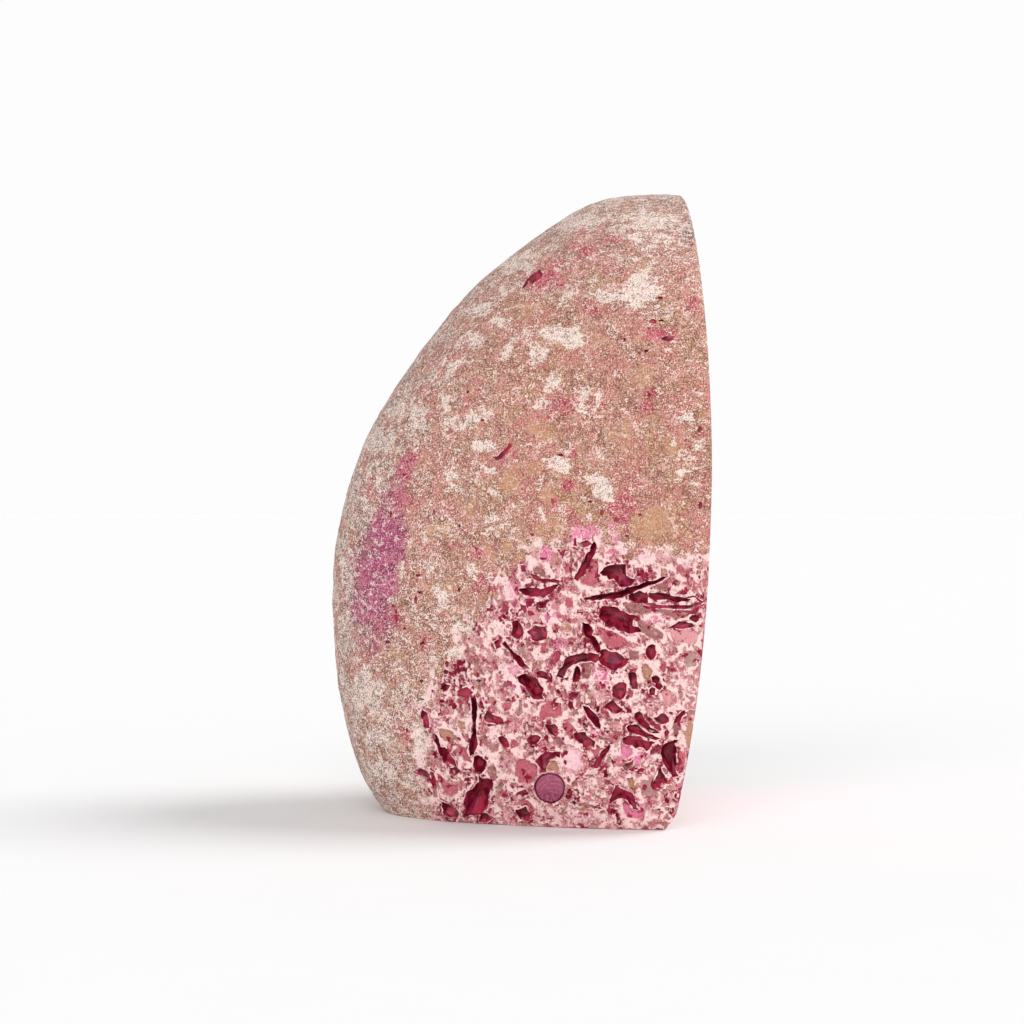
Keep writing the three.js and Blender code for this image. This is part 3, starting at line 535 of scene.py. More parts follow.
nearZone = [  # outline of the broken, re-healed zone on the pitted side: distance along and height
    3, 45, 0, 48.5, -3, 51.5, -8, 51, -9.5, 54, -13, 55, -17, 53, -20, 50.5, -26, 51, -30, 49.5, -40, 49,
    -40, -3, 16, -3, 17, 8, 16.5, 14, 18, 20.5, 15, 23, 14.5, 27, 10.5, 31, 9.5, 36, 5.5, 40,
]
farZone = [
    -40, 38, -28, 36, -22, 34, -14, 34, -8, 31, -2, 27, 2, 24, 9, 22, 12, 14, 12, 6, 11, -3, -40, -3,
]
nearFragments = [  # tone, then corners: distance along and height
    ["rose", -13.1, 50.7, -14.6, 50, -14.4, 45.6, -11.9, 45.4, -11.2, 46],
    ["tan", -14.3, 52.8, -15.4, 52.5, -15.8, 51, -14.6, 50.6],
    ["tan", -15.8, 51.6, -17.5, 51.4, -17.2, 50.8, -15.9, 50.9],
    ["tan", -11.2, 51.2, -13.1, 51.5, -12.2, 50.1, -11.3, 50.2],
    ["tan", -2.7, 48.6, -4.4, 47.8, -4, 47.3, -3, 47.6],
    ["tan", -5.8, 48.1, -6.9, 47.2, -6.4, 46.6, -5.7, 47.2],
    ["grey", -1.8, 44.9, -3.2, 45.4, -5, 44.9, -4.6, 44.2, -2.6, 44.3],
    ["pink", -14.7, 45.7, -16.6, 46, -16.4, 44.8, -15, 44.9],
    ["tan", -25.7, 48.3, -27.5, 48, -27.2, 46.9, -25.9, 47],
    ["grey", -28, 46.6, -29.6, 46, -29.2, 44.9, -28, 45],
    ["tan", -32.2, 48, -33.3, 47.6, -33.2, 46.2, -32.4, 46.3],
    ["grey", -24, 42.6, -29.5, 42.4, -30, 41.6, -26, 41.3, -23.8, 41.8],
    ["mauve", -19.2, 41.6, -21, 42, -23, 41.7, -28, 40.8,
     -31, 40.3, -29, 39.7, -24, 40.2, -20.5, 40.3, -19.6, 40.6],
    ["pink", -13.8, 38, -15.6, 37.4, -18.5, 36.6, -20.3, 35,
     -21, 33, -19, 32.8, -17, 33.6, -15.6, 34.2, -14.6, 35.6],
    ["mauve", -21.2, 39.2, -22.5, 39, -24.5, 37.8, -26.5, 36.6,
     -26.8, 35.5, -25, 35.2, -23, 36.2, -22.2, 37.2],
    ["mauve", -27, 39.8, -30, 39.8, -29.5, 38.6, -27.5, 38.7],
    ["grey", -26.1, 34.2, -27.2, 34.2, -27, 33, -26.2, 33.1],
    ["mauve", -28, 34.2, -29.2, 34, -28.9, 32.6, -28.1, 32.8],
    ["grey", -30, 33.4, -32.6, 32.8, -32.3, 30.6, -30.6, 30.2, -30, 31.5],
    ["mauve", -11.8, 31.6, -13.3, 31.5, -13.2, 28.2, -11.6, 27.9],
    ["rose", -8.6, 43.2, -10.2, 42.6, -10, 40.6, -8.8, 40.4],
    ["rose", -7.1, 39.8, -9.4, 39.7, -8.6, 38.2, -7.3, 38.2],
    ["tan", -6.4, 37.6, -7.8, 37.8, -7.4, 36.2, -6.4, 36.4],
    ["mauve", 2, 34, 0.9, 33, 1.2, 31.8, 2.6, 32.2],
    ["grey", 4.8, 37.2, 3.9, 37.2, 3.9, 35.8, 4.7, 35.7],
    ["mauve", -0.6, 27.6, -1.6, 27.6, -3, 25.6, -2.4, 24.2, -1, 24.6, -0.6, 26],
    ["grey", 0.2, 24, -1, 24, -1.2, 21.6, -0.4, 20.8, 0.2, 21.6],
    ["rose", -3.6, 22, -5.6, 23.8, -8, 23.4, -8.4, 21.4, -7.4, 20.2, -4.6, 20.4, -3.8, 21],
    ["tan", 14.6, 18, 12.2, 17.9, 10.4, 16.9, 9.9, 15.6, 11.6, 15.2, 13.6, 15.8, 14.2, 16.4],
    ["tan", 11.2, 19.8, 9.2, 19.6, 8.9, 18, 10.4, 17.8],
    ["rose", 11.2, 14.8, 9.2, 14.6, 8.3, 11.6, 9.6, 12, 10.8, 13.6],
    ["rose", 14.8, 9.6, 13.6, 8.8, 12.6, 7.6, 10.8, 7.4, 10.6, 5.8, 12, 4.8, 13.8, 5.4, 14.6, 7.4],
    ["mauve", 15.8, 7, 14.9, 6.8, 14.6, 4.6, 15.6, 4.4],
    ["rose", 4.4, 17, 3.4, 17.6, 1, 16.8, -0.4, 16.4, -0.2, 15.2, 1.4, 14.6, 3, 15, 4.2, 16],
    ["mauve", 3.6, 23, 1.4, 23, 0.9, 21.6, 2.4, 20.8, 3.4, 21.6],
    ["grey", 4.4, 9.8, 3, 10, 2.2, 7.6, 3, 6.4, 4.2, 7.4],
    ["rose", 0.2, 12.6, -1.4, 13, -3.8, 12, -4, 9.8, -2.6, 8.4, -0.6, 8.2, 0.4, 10],
    ["tan", -5.6, 12.8, -7.9, 13.4, -8.2, 10.8, -5.6, 10.4],
    ["rose", -10.4, 15.8, -12.4, 15, -14.2, 14.6, -14.4, 12.4, -12.6, 11.4, -11, 12.6],
    ["rose", -0.2, 5.2, -2.2, 5, -3.4, 3.8, -2.8, 2.6, -1, 3.6],
    ["tan", -20, 9.8, -22, 10.4, -24.6, 9.8, -24.4, 7, -22.4, 6.2, -20.6, 7.4],
    ["rose", -20.2, 4.4, -22, 4.4, -23.6, 3.6, -23, 1.4, -20.8, 1.2, -19.8, 2.8],
    ["mauve", -28, 20.2, -30.4, 20, -31.2, 18, -30, 16.8, -28.4, 17.6],
    ["rose", -29.4, 15.6, -30.8, 15.2, -30.4, 11.4, -29.2, 11.2, -28.9, 13.6],
    ["mauve", -6.8, 17.6, -8.4, 17.2, -9.6, 15.8, -8.6, 15, -7, 15.8],
    ["tan", 5.4, 24.2, 4, 24.4, 3.8, 23.2, 5, 23],
    ["mauve", -3, 48.7, -4.4, 48.5, -5.3, 47.4, -6.4, 46.5,
     -7.5, 46, -7.1, 45.1, -5.7, 44.5, -3.9, 45.2, -3.2, 46.7],
    ["tan", -24.3, 42.5, -26.1, 42.3, -26.5, 41.4, -24.9, 41.4],
    ["tan", -27.2, 42.2, -29.4, 42.3, -29.7, 41.4, -27.6, 41.3],
    ["tan", -30.1, 42.2, -32.6, 42.5, -32.6, 41.6, -30.5, 41.3],
    ["deepRose", -5.9, 31.8, -6.6, 33, -7.9, 33.3, -8, 31.4, -7.1, 29.9, -6.1, 30.5],
    ["rose", -4.4, 22.9, -5.7, 23.7, -7.2, 23.7, -8.2, 23.5,
     -8.4, 21.1, -7.2, 20.8, -5.7, 20.7, -4.3, 19.9, -3.9, 21],
    ["rose", -8.4, 20, -9.7, 20.1, -11.2, 18.2, -11.2, 16.8, -9.7, 16.7, -8.6, 18.6],
    ["rose", -12.6, 15.5, -14.1, 16.1, -15.2, 15.7, -15.6, 13.8, -14.8, 13.6, -13.4, 14.6],
    ["deepRose", -22, 22.1, -24.1, 21.4, -25.9, 20.3, -26.3, 18.8, -24.9, 18.4, -23.1, 19.5, -22, 20.3],
    ["blush", -8.5, 14.5, -10.1, 15.4, -11.6, 15.3, -11.9, 11.5, -10.9, 10.8, -9, 11.1, -8.5, 12.6],
    ["rose", -19.3, 5, -21.1, 6.2, -22.6, 4.9, -23.7, 3.4, -23.4, 1.8, -20.4, 2.2, -19.7, 3.3],
    ["grey", -22.5, 9.5, -25.7, 9.5, -25.8, 6.5, -22.9, 6.4],
    ["mauve", 7.1, 16.7, 5.2, 17.2, 4.5, 15.9, 5.2, 14.3, 6.7, 15],
    ["rose", 3, 23.2, 0.8, 23.5, 0.8, 22.4, 2.3, 21.6],
    ["deepRose", -18.1, 27.6, -19.7, 27.9, -21.2, 26.9, -21.2, 25, -20.1, 24.3, -18.7, 25],
    ["rose", -5.2, 32.3, -5.7, 35, -4.4, 34.3, -4.2, 32.8],
    ["deepRose", -25.1, 16.8, -26.7, 15.7, -26, 14.7, -24.2, 14, -23.8, 15.5],
    ["mauve", -18.8, 16.5, -21, 15.8, -21.3, 14.3, -19.9, 13.2, -18.8, 14.6],
    ["tan", -30.3, 18, -31.3, 20.7, -32, 20, -31.7, 16.1, -30.7, 15.6],
    ["rose", -29, 8.4, -30.4, 9.9, -31.6, 8.8, -30.9, 7.3, -29.4, 7.3],
    ["tan", -22.2, 31.6, -23.7, 30.9, -24.7, 29.5, -23.7, 27.3, -22.6, 28.7],
    ["pink", -25.9, 26.2, -28, 25.9, -28.4, 23.7, -26.6, 23.3],
    ["mauve", 5.2, 15.3, 3, 15.9, 3.4, 14, 4.9, 13.6],
    ["mauve", 5.6, 10.9, 4.1, 12.1, 3.4, 10.6, 4.1, 8.7, 5.2, 9.4],
    ["blush", -19.8, 51.2, -22.2, 51.5, -24, 50.4, -22.2, 49.4, -20.4, 49.7],
    ["blush", 1.9, 29.7, 0.1, 30.5, -1, 29.5, 0.5, 28.3],
    ["mauve", -18.9, 41.8, -22.2, 42.2, -26.1, 41.8, -29.4, 41.1, -32.8, 41.2, -33, 39.4,
     -30.6, 39.3, -28.7, 38.9, -27.2, 39.8, -24.9, 40.2, -22.2, 39.8, -20, 40.3],
    ["pink", -27.4, 36.9, -28.1, 37.2, -30.3, 37.3, -32.1, 37.2, -32.8, 36.7, -32.7, 35.1, -31.9, 34.3,
     -30.5, 34.6, -29.6, 35.1, -28.3, 35, -27.6, 35.8],
    ["rose", -14.3, 37.7, -16.8, 37.2, -19.3, 35.8, -20.8, 34.4,
     -20.1, 33.4, -17.9, 33.4, -16.1, 34.1, -15, 35.7],
    ["rose", -10.9, 46, -12.1, 47.5, -13.6, 49.7, -14.8, 49.3, -15, 46.1, -13.6, 44.8, -11.8, 45.2],
    ["mauve", -20.1, 33.4, -22.2, 33.3, -22.2, 31.6, -20.1, 31.6],
]
# stains and crusts on the pitted side: distance along, height, half length, half height, strength
stains = {
    "frost": [
        [-22.6, 99, 4, 3, 1], [-17.2, 98.1, 3.2, 1.5, 0.7], [-9.9, 98.9, 2.2, 1.6, 0.6],
        [-8.9, 90.8, 3.3, 1.8, 1], [-5.3, 91.8, 1.5, 1, 0.6], [2.1, 93.6, 1.4, 1, 0.9],
        [1.2, 89.1, 1.2, 1.6, 0.7], [-1.6, 90.9, 1.8, 1, 0.6], [-4.3, 87.5, 1.6, 1.5, 0.8],
        [-12.1, 87.5, 1.1, 0.8, 0.6], [-7, 82.4, 1.6, 1.5, 0.8], [-5.7, 80.6, 1.1, 0.9, 0.6],
        [-12.4, 79.6, 2.1, 1.9, 0.8], [-11.5, 76.5, 1.6, 1.3, 0.7], [-4.3, 78.4, 1.7, 1.3, 0.7],
        [-8.8, 70.5, 1.2, 0.9, 0.8], [-7.5, 66.9, 2.4, 1.8, 1.1], [-14.1, 64.5, 1.2, 0.9, 0.8],
        [-15.4, 62.7, 1.8, 2.2, 1], [-4.4, 58.3, 0.9, 1.1, 0.8], [-33, 70.3, 1.3, 1.5, 0.9],
        [-29.4, 65, 0.9, 1, 0.9], [-29.9, 62.3, 1.1, 0.6, 0.6], [-30.3, 75, 2.2, 1.5, 0.6],
        [-28, 76.1, 1.4, 0.8, 0.5], [-32.2, 79.5, 1.5, 0.9, 0.5], [-28.6, 81.3, 0.9, 0.9, 0.4],
        [-31.3, 85, 0.9, 0.5, 0.5], [-32.3, 87.7, 0.5, 0.5, 0.6], [-27.6, 71.4, 1.8, 0.9, 0.4],
        [-25.2, 113, 7.4, 2.2, 0.5], [-26.7, 108.7, 5.5, 2, 0.4], [-12.3, 113.7, 4.3, 1.5, 0.6],
        [-0.9, 105.6, 3.8, 2.2, 0.7], [2, 99.9, 1.5, 1.6, 0.6], [13.2, 78.7, 1.2, 1.5, 0.8],
        [18.4, 77, 2, 1.1, 0.7], [11.3, 74.9, 2.2, 1.5, 0.7], [7.6, 76.2, 1.9, 1.1, 0.6],
        [5.2, 76.7, 1.1, 0.8, 0.6], [6.3, 70.1, 1.4, 1.1, 0.8], [4.9, 66, 1.1, 0.9, 0.9],
        [12.3, 65.1, 1.4, 1.1, 0.7], [11, 62.9, 1.1, 1.1, 0.6], [4.5, 62.3, 1.1, 0.9, 0.7],
        [3.9, 56.3, 1.1, 1.3, 0.8], [8.2, 47.6, 1.1, 1.5, 0.9], [7.6, 55, 0.5, 2.2, 0.8],
        [16, 52.1, 0.6, 0.9, 0.5], [18.9, 73.6, 2.3, 1.5, 0.5], [24.8, 71.8, 1.6, 1.9, 0.6],
        [27.9, 71.9, 1.8, 2.8, 0.6], [21.9, 77.5, 2, 2, 0.4], [13.2, 43.8, 1.9, 0.9, 0.6],
        [1.2, 60.5, 1.5, 0.9, 0.4], [0.3, 54.1, 1.8, 1.5, 0.4], [10.8, 37, 1.3, 1.4, 0.9],
        [8, 36.2, 1.1, 2.2, 0.9], [11.5, 32.7, 1.1, 1, 0.7], [21, 25.8, 0.6, 1.7, 0.9],
        [13.2, 40.7, 1.5, 1.1, 0.5], [27.6, 24.4, 3.2, 1.9, 0.8], [29.6, 22.3, 1.7, 2.7, 0.7],
        [26.7, 15.8, 2, 1.5, 0.5], [26.6, 19.7, 1.6, 1.9, 0.5], [25.4, 9.5, 1.4, 1.8, 0.8],
        [27.8, 9.2, 1, 1.2, 0.6], [20.9, 7.6, 1.9, 1.6, 0.5], [28.6, 28.2, 1.2, 1.5, 0.5],
        [24.7, 18.9, 2.3, 1.9, 0.4], [17.9, 15.6, 1.2, 3.1, 0.6], [12.3, 85.7, 2.2, 1.5, 0.5],
        [8.6, 90.4, 2.6, 1.6, 0.5], [14.2, 82.9, 1.9, 1.5, 0.4], [6.7, 96.3, 3.1, 1.7, 0.5],
    ],
    "rosy": [
        [-8.6, 104.9, 4.4, 1, 0.9], [-12.9, 106.7, 2.2, 1.6, 0.9], [-5.4, 100.5, 3.3, 1.5, 0.9],
        [-7.3, 103.3, 1.8, 2.4, 0.8], [-2.7, 102.6, 1.9, 1.2, 0.5], [-17.5, 108.9, 1.8, 1.6, 0.5],
        [-26, 90.5, 2.6, 1.5, 0.9], [-31.7, 97, 1.1, 1.5, 1], [-31.6, 95, 0.9, 0.8, 0.6],
        [-24.4, 80.1, 0.8, 0.8, 1], [-23.2, 77.7, 1.5, 1.5, 0.8], [-15.5, 77.8, 1, 0.9, 1],
        [-7.9, 77.8, 3.6, 2.2, 0.6], [-5.2, 75.6, 1.8, 0.6, 0.9], [-12.4, 74.1, 2.9, 1.4, 0.5],
        [-8.9, 63.2, 1.2, 1.2, 1], [-6.9, 60.5, 0.8, 1.1, 0.8], [-19.5, 58.7, 2.9, 2.9, 0.8],
        [-10, 57.3, 1.5, 2.1, 0.7], [-9.7, 68.7, 1.5, 1.4, 0.7], [-33, 73.2, 0.7, 0.8, 0.8],
        [-4.2, 65.1, 1.5, 0.9, 0.5], [1.2, 68.7, 2.2, 1, 0.6], [1.2, 66, 1.5, 1.1, 0.5],
        [-33.7, 64.1, 0.8, 1.8, 0.6], [8.2, 57.7, 0.9, 0.9, 1], [19.8, 67.9, 2.3, 2.2, 0.6],
        [20.7, 65.1, 1.1, 1.1, 0.9], [7.6, 50.4, 2.2, 1.1, 0.9], [11.3, 51.2, 1.8, 1.5, 0.5],
        [4.9, 44.9, 3, 1.8, 0.7], [8.5, 43.9, 2.3, 1.5, 0.5], [4.5, 44.4, 0.6, 0.6, 1],
        [17, 33.5, 1.5, 1.1, 0.8], [20.8, 29, 0.8, 0.8, 0.7], [19.8, 16.4, 2.7, 1.5, 0.7],
        [22.7, 37.9, 1, 2.7, 0.7], [11.3, 27.2, 3, 3, 0.6], [-29.4, 54.8, 1.1, 0.9, 0.4],
        [-22.2, 64.1, 1.4, 1.9, 0.4], [-13.5, 95.3, 2.2, 1.6, 0.5], [21.7, 60.5, 4.6, 2.2, 0.5],
        [27.6, 62.3, 2, 3.8, 0.5], [8.6, 79.9, 2.3, 1.9, 0.4], [-19.1, 102.9, 3.7, 1.2, 0.3],
    ],
    "ochre": [
        [-24.9, 56, 4.3, 3.9, 1], [-22.3, 83.2, 1.8, 3.3, 0.7], [-19.6, 72.3, 2.5, 2.5, 0.7],
        [-27.6, 70.5, 2.5, 1.8, 0.6], [-15.2, 90.6, 1.4, 1.4, 0.6], [-23.7, 103.8, 1.5, 1.6, 0.6],
        [-1.7, 96.1, 1.6, 1.8, 0.8], [-4.3, 73.3, 2.5, 1.8, 0.8], [-2.4, 66, 2.9, 1.5, 0.8],
        [1.6, 63.3, 1.8, 1.5, 1], [-5.7, 61.4, 2.5, 1.4, 0.8], [8.9, 59, 2.2, 2.2, 0.9],
        [14.1, 54.9, 3, 1.8, 0.8], [18.8, 67, 1.5, 1.9, 0.5], [4.9, 51.3, 1.4, 1.9, 0.7],
        [1.2, 50.4, 2.5, 1.4, 1], [14.1, 44.7, 3.3, 1.5, 0.9], [12.3, 50.3, 2.2, 1.1, 0.5],
        [-6, 55.1, 2.9, 1.4, 0.8], [22.7, 32.3, 2.7, 1.5, 0.7], [11.3, 39.2, 1.8, 1.1, 0.6],
        [-31.2, 55.1, 1.1, 1.8, 0.4], [-7.8, 65.1, 1.8, 0.9, 0.6], [-11.6, 85.1, 2.5, 0.9, 0.5],
        [-22.3, 79.5, 1.1, 1.1, 0.6], [21.8, 13.4, 2.3, 2, 0.4], [17.9, 25, 1.9, 1.5, 0.4],
        [6.7, 73.4, 1.8, 1.1, 0.5], [-25.8, 60.5, 2.9, 2.2, 0.5], [-18.6, 68.7, 1.8, 1.4, 0.4],
        [16, 69.8, 1.5, 1.5, 0.4], [14.1, 60.5, 1.8, 1.5, 0.4], [10.4, 34.6, 2.2, 2.6, 0.4],
        [3, 42.2, 1.9, 1.4, 0.4],
    ],
    "plum": [
        [21.1, 66.8, 1.9, 3.8, 0.5],
        [22.5, 60.4, 2.8, 4.5, 0.6],
        [24.8, 53.7, 3.8, 4.9, 0.9],
        [26, 46.3, 4.5, 5.7, 1],
        [23.2, 49.2, 2.6, 4.2, 0.8],
        [28.3, 40.4, 4.2, 4.5, 0.9],
        [24.8, 37.5, 3, 3.4, 0.7],
        [29.5, 47.1, 2.6, 4.9, 0.7],
        [27.1, 33, 2.6, 2.6, 0.5],
    ],
    "wine": [
        [-5.1, 44.1, 3.9, 1.9, 0.9], [-5.1, 46.3, 3.2, 1.1, 0.6], [-12.8, 49.7, 1.8, 3.6, 0.7],
        [-18.6, 47, 3.6, 2.2, 0.9], [-24, 46.1, 3.9, 1.1, 0.8], [-22.2, 43.1, 2.5, 1.2, 1],
        [-28.5, 43.2, 4.5, 1.2, 0.8], [-19, 38.9, 3.9, 2.9, 1], [-13.6, 36.6, 1.8, 2.2, 0.8],
        [-17.2, 31.6, 2.9, 2.6, 1], [-30.3, 38.5, 2.9, 1.1, 0.6], [-0.6, 36.4, 1.5, 2.2, 0.9],
        [-4.2, 36.3, 1.8, 1.6, 0.8], [2.1, 34, 2.2, 1.4, 0.5], [-7, 32.3, 2.1, 2.5, 0.7],
        [-9.7, 30, 2.2, 2.2, 0.7], [-5.2, 28.6, 1.4, 1.3, 0.6], [-3.3, 25.8, 2.9, 2.5, 0.9],
        [-15.1, 32.5, 3.6, 1.4, 0.8], [-19.1, 26.1, 2.6, 2.6, 0.7], [-24.9, 27.1, 1.4, 2.2, 0.8],
        [-18.7, 22.8, 2.5, 1.5, 0.8], [-23.3, 17.9, 3.9, 4, 0.9], [-26.8, 21.1, 1.4, 1.4, 0.8],
        [-28.9, 14.2, 2.2, 3.4, 0.9], [-13.9, 20.5, 1.5, 2.9, 0.7], [-11.9, 20.5, 1.1, 1.1, 0.7],
        [-7, 18.9, 2.2, 1.5, 0.9], [-4.3, 17.2, 1.8, 1.2, 0.7], [-13.4, 16.4, 2.2, 1.5, 0.8],
        [1.6, 16, 1.4, 1.5, 0.7], [-5.6, 13.8, 2.2, 2.6, 0.9], [4.5, 20.9, 1.8, 1.8, 0.6],
        [12.3, 13.6, 2.6, 3, 0.8], [7.1, 6.6, 3, 5.9, 0.9], [11.8, 2.3, 2.3, 2, 0.9],
        [10.4, 26.8, 2.6, 2.2, 0.5], [7.4, 19.9, 1, 5.7, 0.7], [-16.3, 13.9, 1.4, 2.7, 0.6],
        [-21, 11.7, 1.4, 1.3, 0.6], [-20.7, 5.6, 3.6, 2.3, 0.7], [-27.6, 9.5, 1.4, 2.6, 0.7],
        [-1.8, 2.1, 1.5, 1.6, 0.8], [-0.3, 6, 2.6, 1.1, 0.5], [17, 10.3, 1.6, 1.2, 0.6],
        [-24.9, 32.6, 1.1, 1.8, 0.7], [-30.4, 21.7, 1.4, 1.5, 0.5], [-10.6, 24.1, 2.5, 1.5, 0.5],
    ],
    "milk": [
        [-5.1, 50, 3.2, 1.8, 0.9], [0.3, 44.1, 2.5, 2.2, 1], [-8.2, 42.4, 3.2, 1.6, 0.6],
        [-15, 54, 4, 1.7, 0.7], [-25.8, 49.7, 3.9, 1.8, 0.9], [-30.1, 50.4, 2.5, 1.8, 0.6],
        [-15.4, 42.5, 1.5, 1.4, 0.6], [-24.9, 39.3, 2.5, 1.1, 0.7], [-11.4, 44.6, 2.1, 1.5, 0.7],
        [-10.5, 40.2, 2.5, 2.2, 0.6], [3, 36.7, 2.5, 1.8, 0.9], [1.6, 30.3, 2.5, 2.2, 0.7],
        [2.1, 25.7, 2.6, 2.2, 0.6], [-2.1, 22.5, 2.2, 2.9, 0.8], [3.9, 17.2, 2.5, 2.2, 0.9],
        [3, 12.2, 3.3, 2.7, 0.9], [-10.5, 13.4, 1.6, 3.2, 1], [-15.1, 24.2, 2.2, 2.9, 0.8],
        [-13.3, 26, 2.5, 1.8, 0.8], [-25.3, 14.7, 1.4, 2.6, 0.8], [-29.8, 26.2, 2.5, 3.6, 1],
        [-17.4, 11.3, 5.4, 2.2, 0.8], [-13.5, 7, 5.4, 3.4, 0.6], [-8, 2.4, 11, 1.9, 0.9],
        [-25.9, 3.8, 4.3, 2.7, 0.8], [3, 1.9, 2.6, 2.4, 0.9], [16.5, 4, 2.6, 2.8, 0.7],
        [8.6, 10.4, 2.6, 2, 0.9], [17.9, 14.6, 2.7, 3, 0.6], [11.9, 19.7, 3.8, 1.9, 0.8],
        [6.3, 27.4, 1.8, 3, 0.6], [-24.1, 23.4, 3.2, 2.2, 0.4], [-12.4, 30.6, 0.9, 3.7, 0.3],
        [-25.8, 34.4, 2.1, 1.4, 0.6],
    ],
    "fuchsia": [
        [-5.5, 50.3, 1.6, 1.6, 1], [-0.3, 43.7, 1.6, 1.6, 0.6], [-12.3, 54.6, 3.6, 1.4, 0.7],
        [-16.4, 50.8, 1.6, 1.1, 0.6], [-5.7, 39.6, 1.1, 2.6, 0.9], [-16, 28.8, 2.5, 1.5, 1],
        [0.3, 29.4, 3.3, 1.8, 0.6], [-25.2, 38.7, 2.6, 0.9, 0.8], [-21, 14.7, 2, 2, 0.8],
        [-21.2, 3.3, 2.3, 1.9, 0.8], [-13.3, 19, 1.8, 1.1, 0.6], [-30.1, 9, 1.6, 2.1, 0.6],
        [-7.9, 34.2, 1.8, 1.1, 0.6], [-17.2, 55.1, 1.5, 2.5, 0.5], [-3.3, 42.3, 1.1, 1.5, 0.4],
        [8.5, 23.6, 2.5, 1.8, 0.4],
    ],
    "violet": [
        [-0.3, 25.8, 1.6, 1.4, 1], [-7.4, 19.1, 1.5, 1.1, 1], [-22.5, 45.8, 2.2, 0.8, 0.9],
        [-22.2, 43.1, 1.2, 0.9, 0.8], [14.9, 19.2, 2.3, 1.8, 0.5], [24.8, 52, 1.6, 3.8, 0.6],
    ],
    "chip": [
        [-32.4, 110.6, 1.5, 2.4, 1.1],
    ],
}
stainShape = {
    "grain": 0.3, "shift": 1.6,  # how far the borders of the stains wander
    "fade": (0.4, 1.5),  # where a stain fades out, in shares of its half length and half height
    "placedTo": (-6, 7), "looseFrom": (-4, 12),  # across the stone, placed stains give way to loose ones
    "looseFade": 0.35, "fineGrain": 2.7, "fineShare": 0.6,
}
# stains of the far side and the back: grain, how much of the skin they leave free, strength
looseStains = {
    "frost": [0.13, 0.1, 0.8], "rosy": [0.07, 0.2, 0.75],
    "ochre": [0.06, 0.12, 0.9], "plum": [0.045, 0.3, 0.8],
}

slotOrder = ["dyedRind", "pitCrimson", "polishedAgate", "sawnFoot"]
reliefShape = {
    "zoneMargin": 1.2, "sideFrom": 3, "cellStep": 2.2, "cellSizes": (0.4, 1.3), "cellsTried": 3600,
    "cellWarps": [[0.7, 1.1], [2.1, 0.4]],  # grain and shift of the wavy borders of the cells
    "ridgeHalf": 0.12, "gapDrop": 0.5, "slope": 0.35,
    "matrixShare": 0.06, "milkMatrix": 0.5, "milkHollow": 0.5,
    "hollowShare": 0.06, "wineHollow": 0.65, "farWine": 0.4,
    "mouthRim": 0.4,  # the skin that is left round a pit and round the eye
    "fragmentRim": 0.3, "fragmentClear": 0.5, "fragmentReach": 1.2, "fragmentBorder": 0.6,
    "shardDepth": 0.5, "hollowDepth": 0.7, "shardWall": 0.3, "floorShares": (0.35, 0.9),
    "ridgeHeight": 0.28, "ridgeWidth": 0.5, "ridgeTop": 0.1, "ridgeGrain": 0.45, "ridgeBreaks": 0.25,
    "borderFade": (-0.6, 0.8), "rimFade": (0.02, 0.6), "footFade": 0.6,
    "levels": 40,  # steps that the vertex weights are rounded to
    "bumps": [[7.0, 0.55], [2.2, 0.3], [0.9, 0.14]],  # grain size and height of the rind's bumps
}
farAway = 9.0  # stands for no pit and no eye nearby
reachLimit, zoneReach, inwardReach = 4, 8, 60  # the finishes tell no distances apart beyond these
eyePlace = {"along": -6.1, "up": 7.5, "radius": 2.8, "groove": 0.35, "grooveEdge": (0.1, 0.35), "calm": 0.2}


def edgeDistance(points, corners):  # positive inside the outline
    corners = np.array(corners, float)
    nearest = np.full(len(points), 1e9)
    inside = np.zeros(len(points), bool)
    for start, end in zip(corners, np.roll(corners, -1, axis=0)):
        along = end - start
        share = np.clip(((points - start) @ along) / (along @ along), 0, 1)
        away = np.linalg.norm(points - (start + share[:, None] * along), axis=1)
        nearest = np.minimum(nearest, away)
        if start[1] != end[1]:
            crosses = (start[1] > points[:, 1]) != (end[1] > points[:, 1])
            meet = start[0] + (points[:, 1] - start[1]) * along[0] / along[1]
            inside ^= crosses & (points[:, 0] < meet)
    return np.where(inside, nearest, -nearest)


def meshPoints(piece):
    flat = np.empty(len(piece.data.vertices) * 3, np.float32)
    piece.data.vertices.foreach_get("co", flat)
    return flat.reshape(-1, 3).astype(float) / mm


def storeOn(piece, name, values):
    layer = piece.data.attributes.get(name) or piece.data.attributes.new(name, "FLOAT", "POINT")
    layer.data.foreach_set("value", np.asarray(values, np.float32))


def readFrom(piece, name):
    values = np.empty(len(piece.data.vertices), np.float32)
    piece.data.attributes[name].data.foreach_get("value", values)
    return values.astype(float)


def zoneDistance(points):  # how far inside the broken zone, on either side of the stone
    near = edgeDistance(points[:, 1:3], pairs(nearZone))
    far = edgeDistance(points[:, 1:3], pairs(farZone))
    return np.where(points[:, 0] < 0, near, far)


def pitDistance(points, onNearSide):  # how far outside the outlines of the pits on the same side
    nearest = np.full(len(points), farAway)
    for pits, here in ((sidePits, onNearSide), (farPits, ~onNearSide)):
        for row in pits:
            gap = -edgeDistance(points[:, 1:3], pairs(row[1:]))
            nearest = np.minimum(nearest, np.where(here, gap, farAway))
    return nearest


def sortFaces(piece):  # which face belongs to which finish
    ring = readFrom(piece, "ring")
    rim = stoneShape["faceRings"]
    for face in piece.data.polygons:
        normal = face.normal
        bevel = normal.z < -0.4 and normal.y < -0.4 and abs(normal.x) < 0.01 and face.center.z < 5 * mm
        if normal.z < -0.999 or bevel:
            face.material_index = slotOrder.index("sawnFoot")
        elif max(ring[i] for i in face.vertices) < rim - 0.95:
            face.material_index = slotOrder.index("polishedAgate")
        else:
            face.material_index = slotOrder.index("dyedRind")


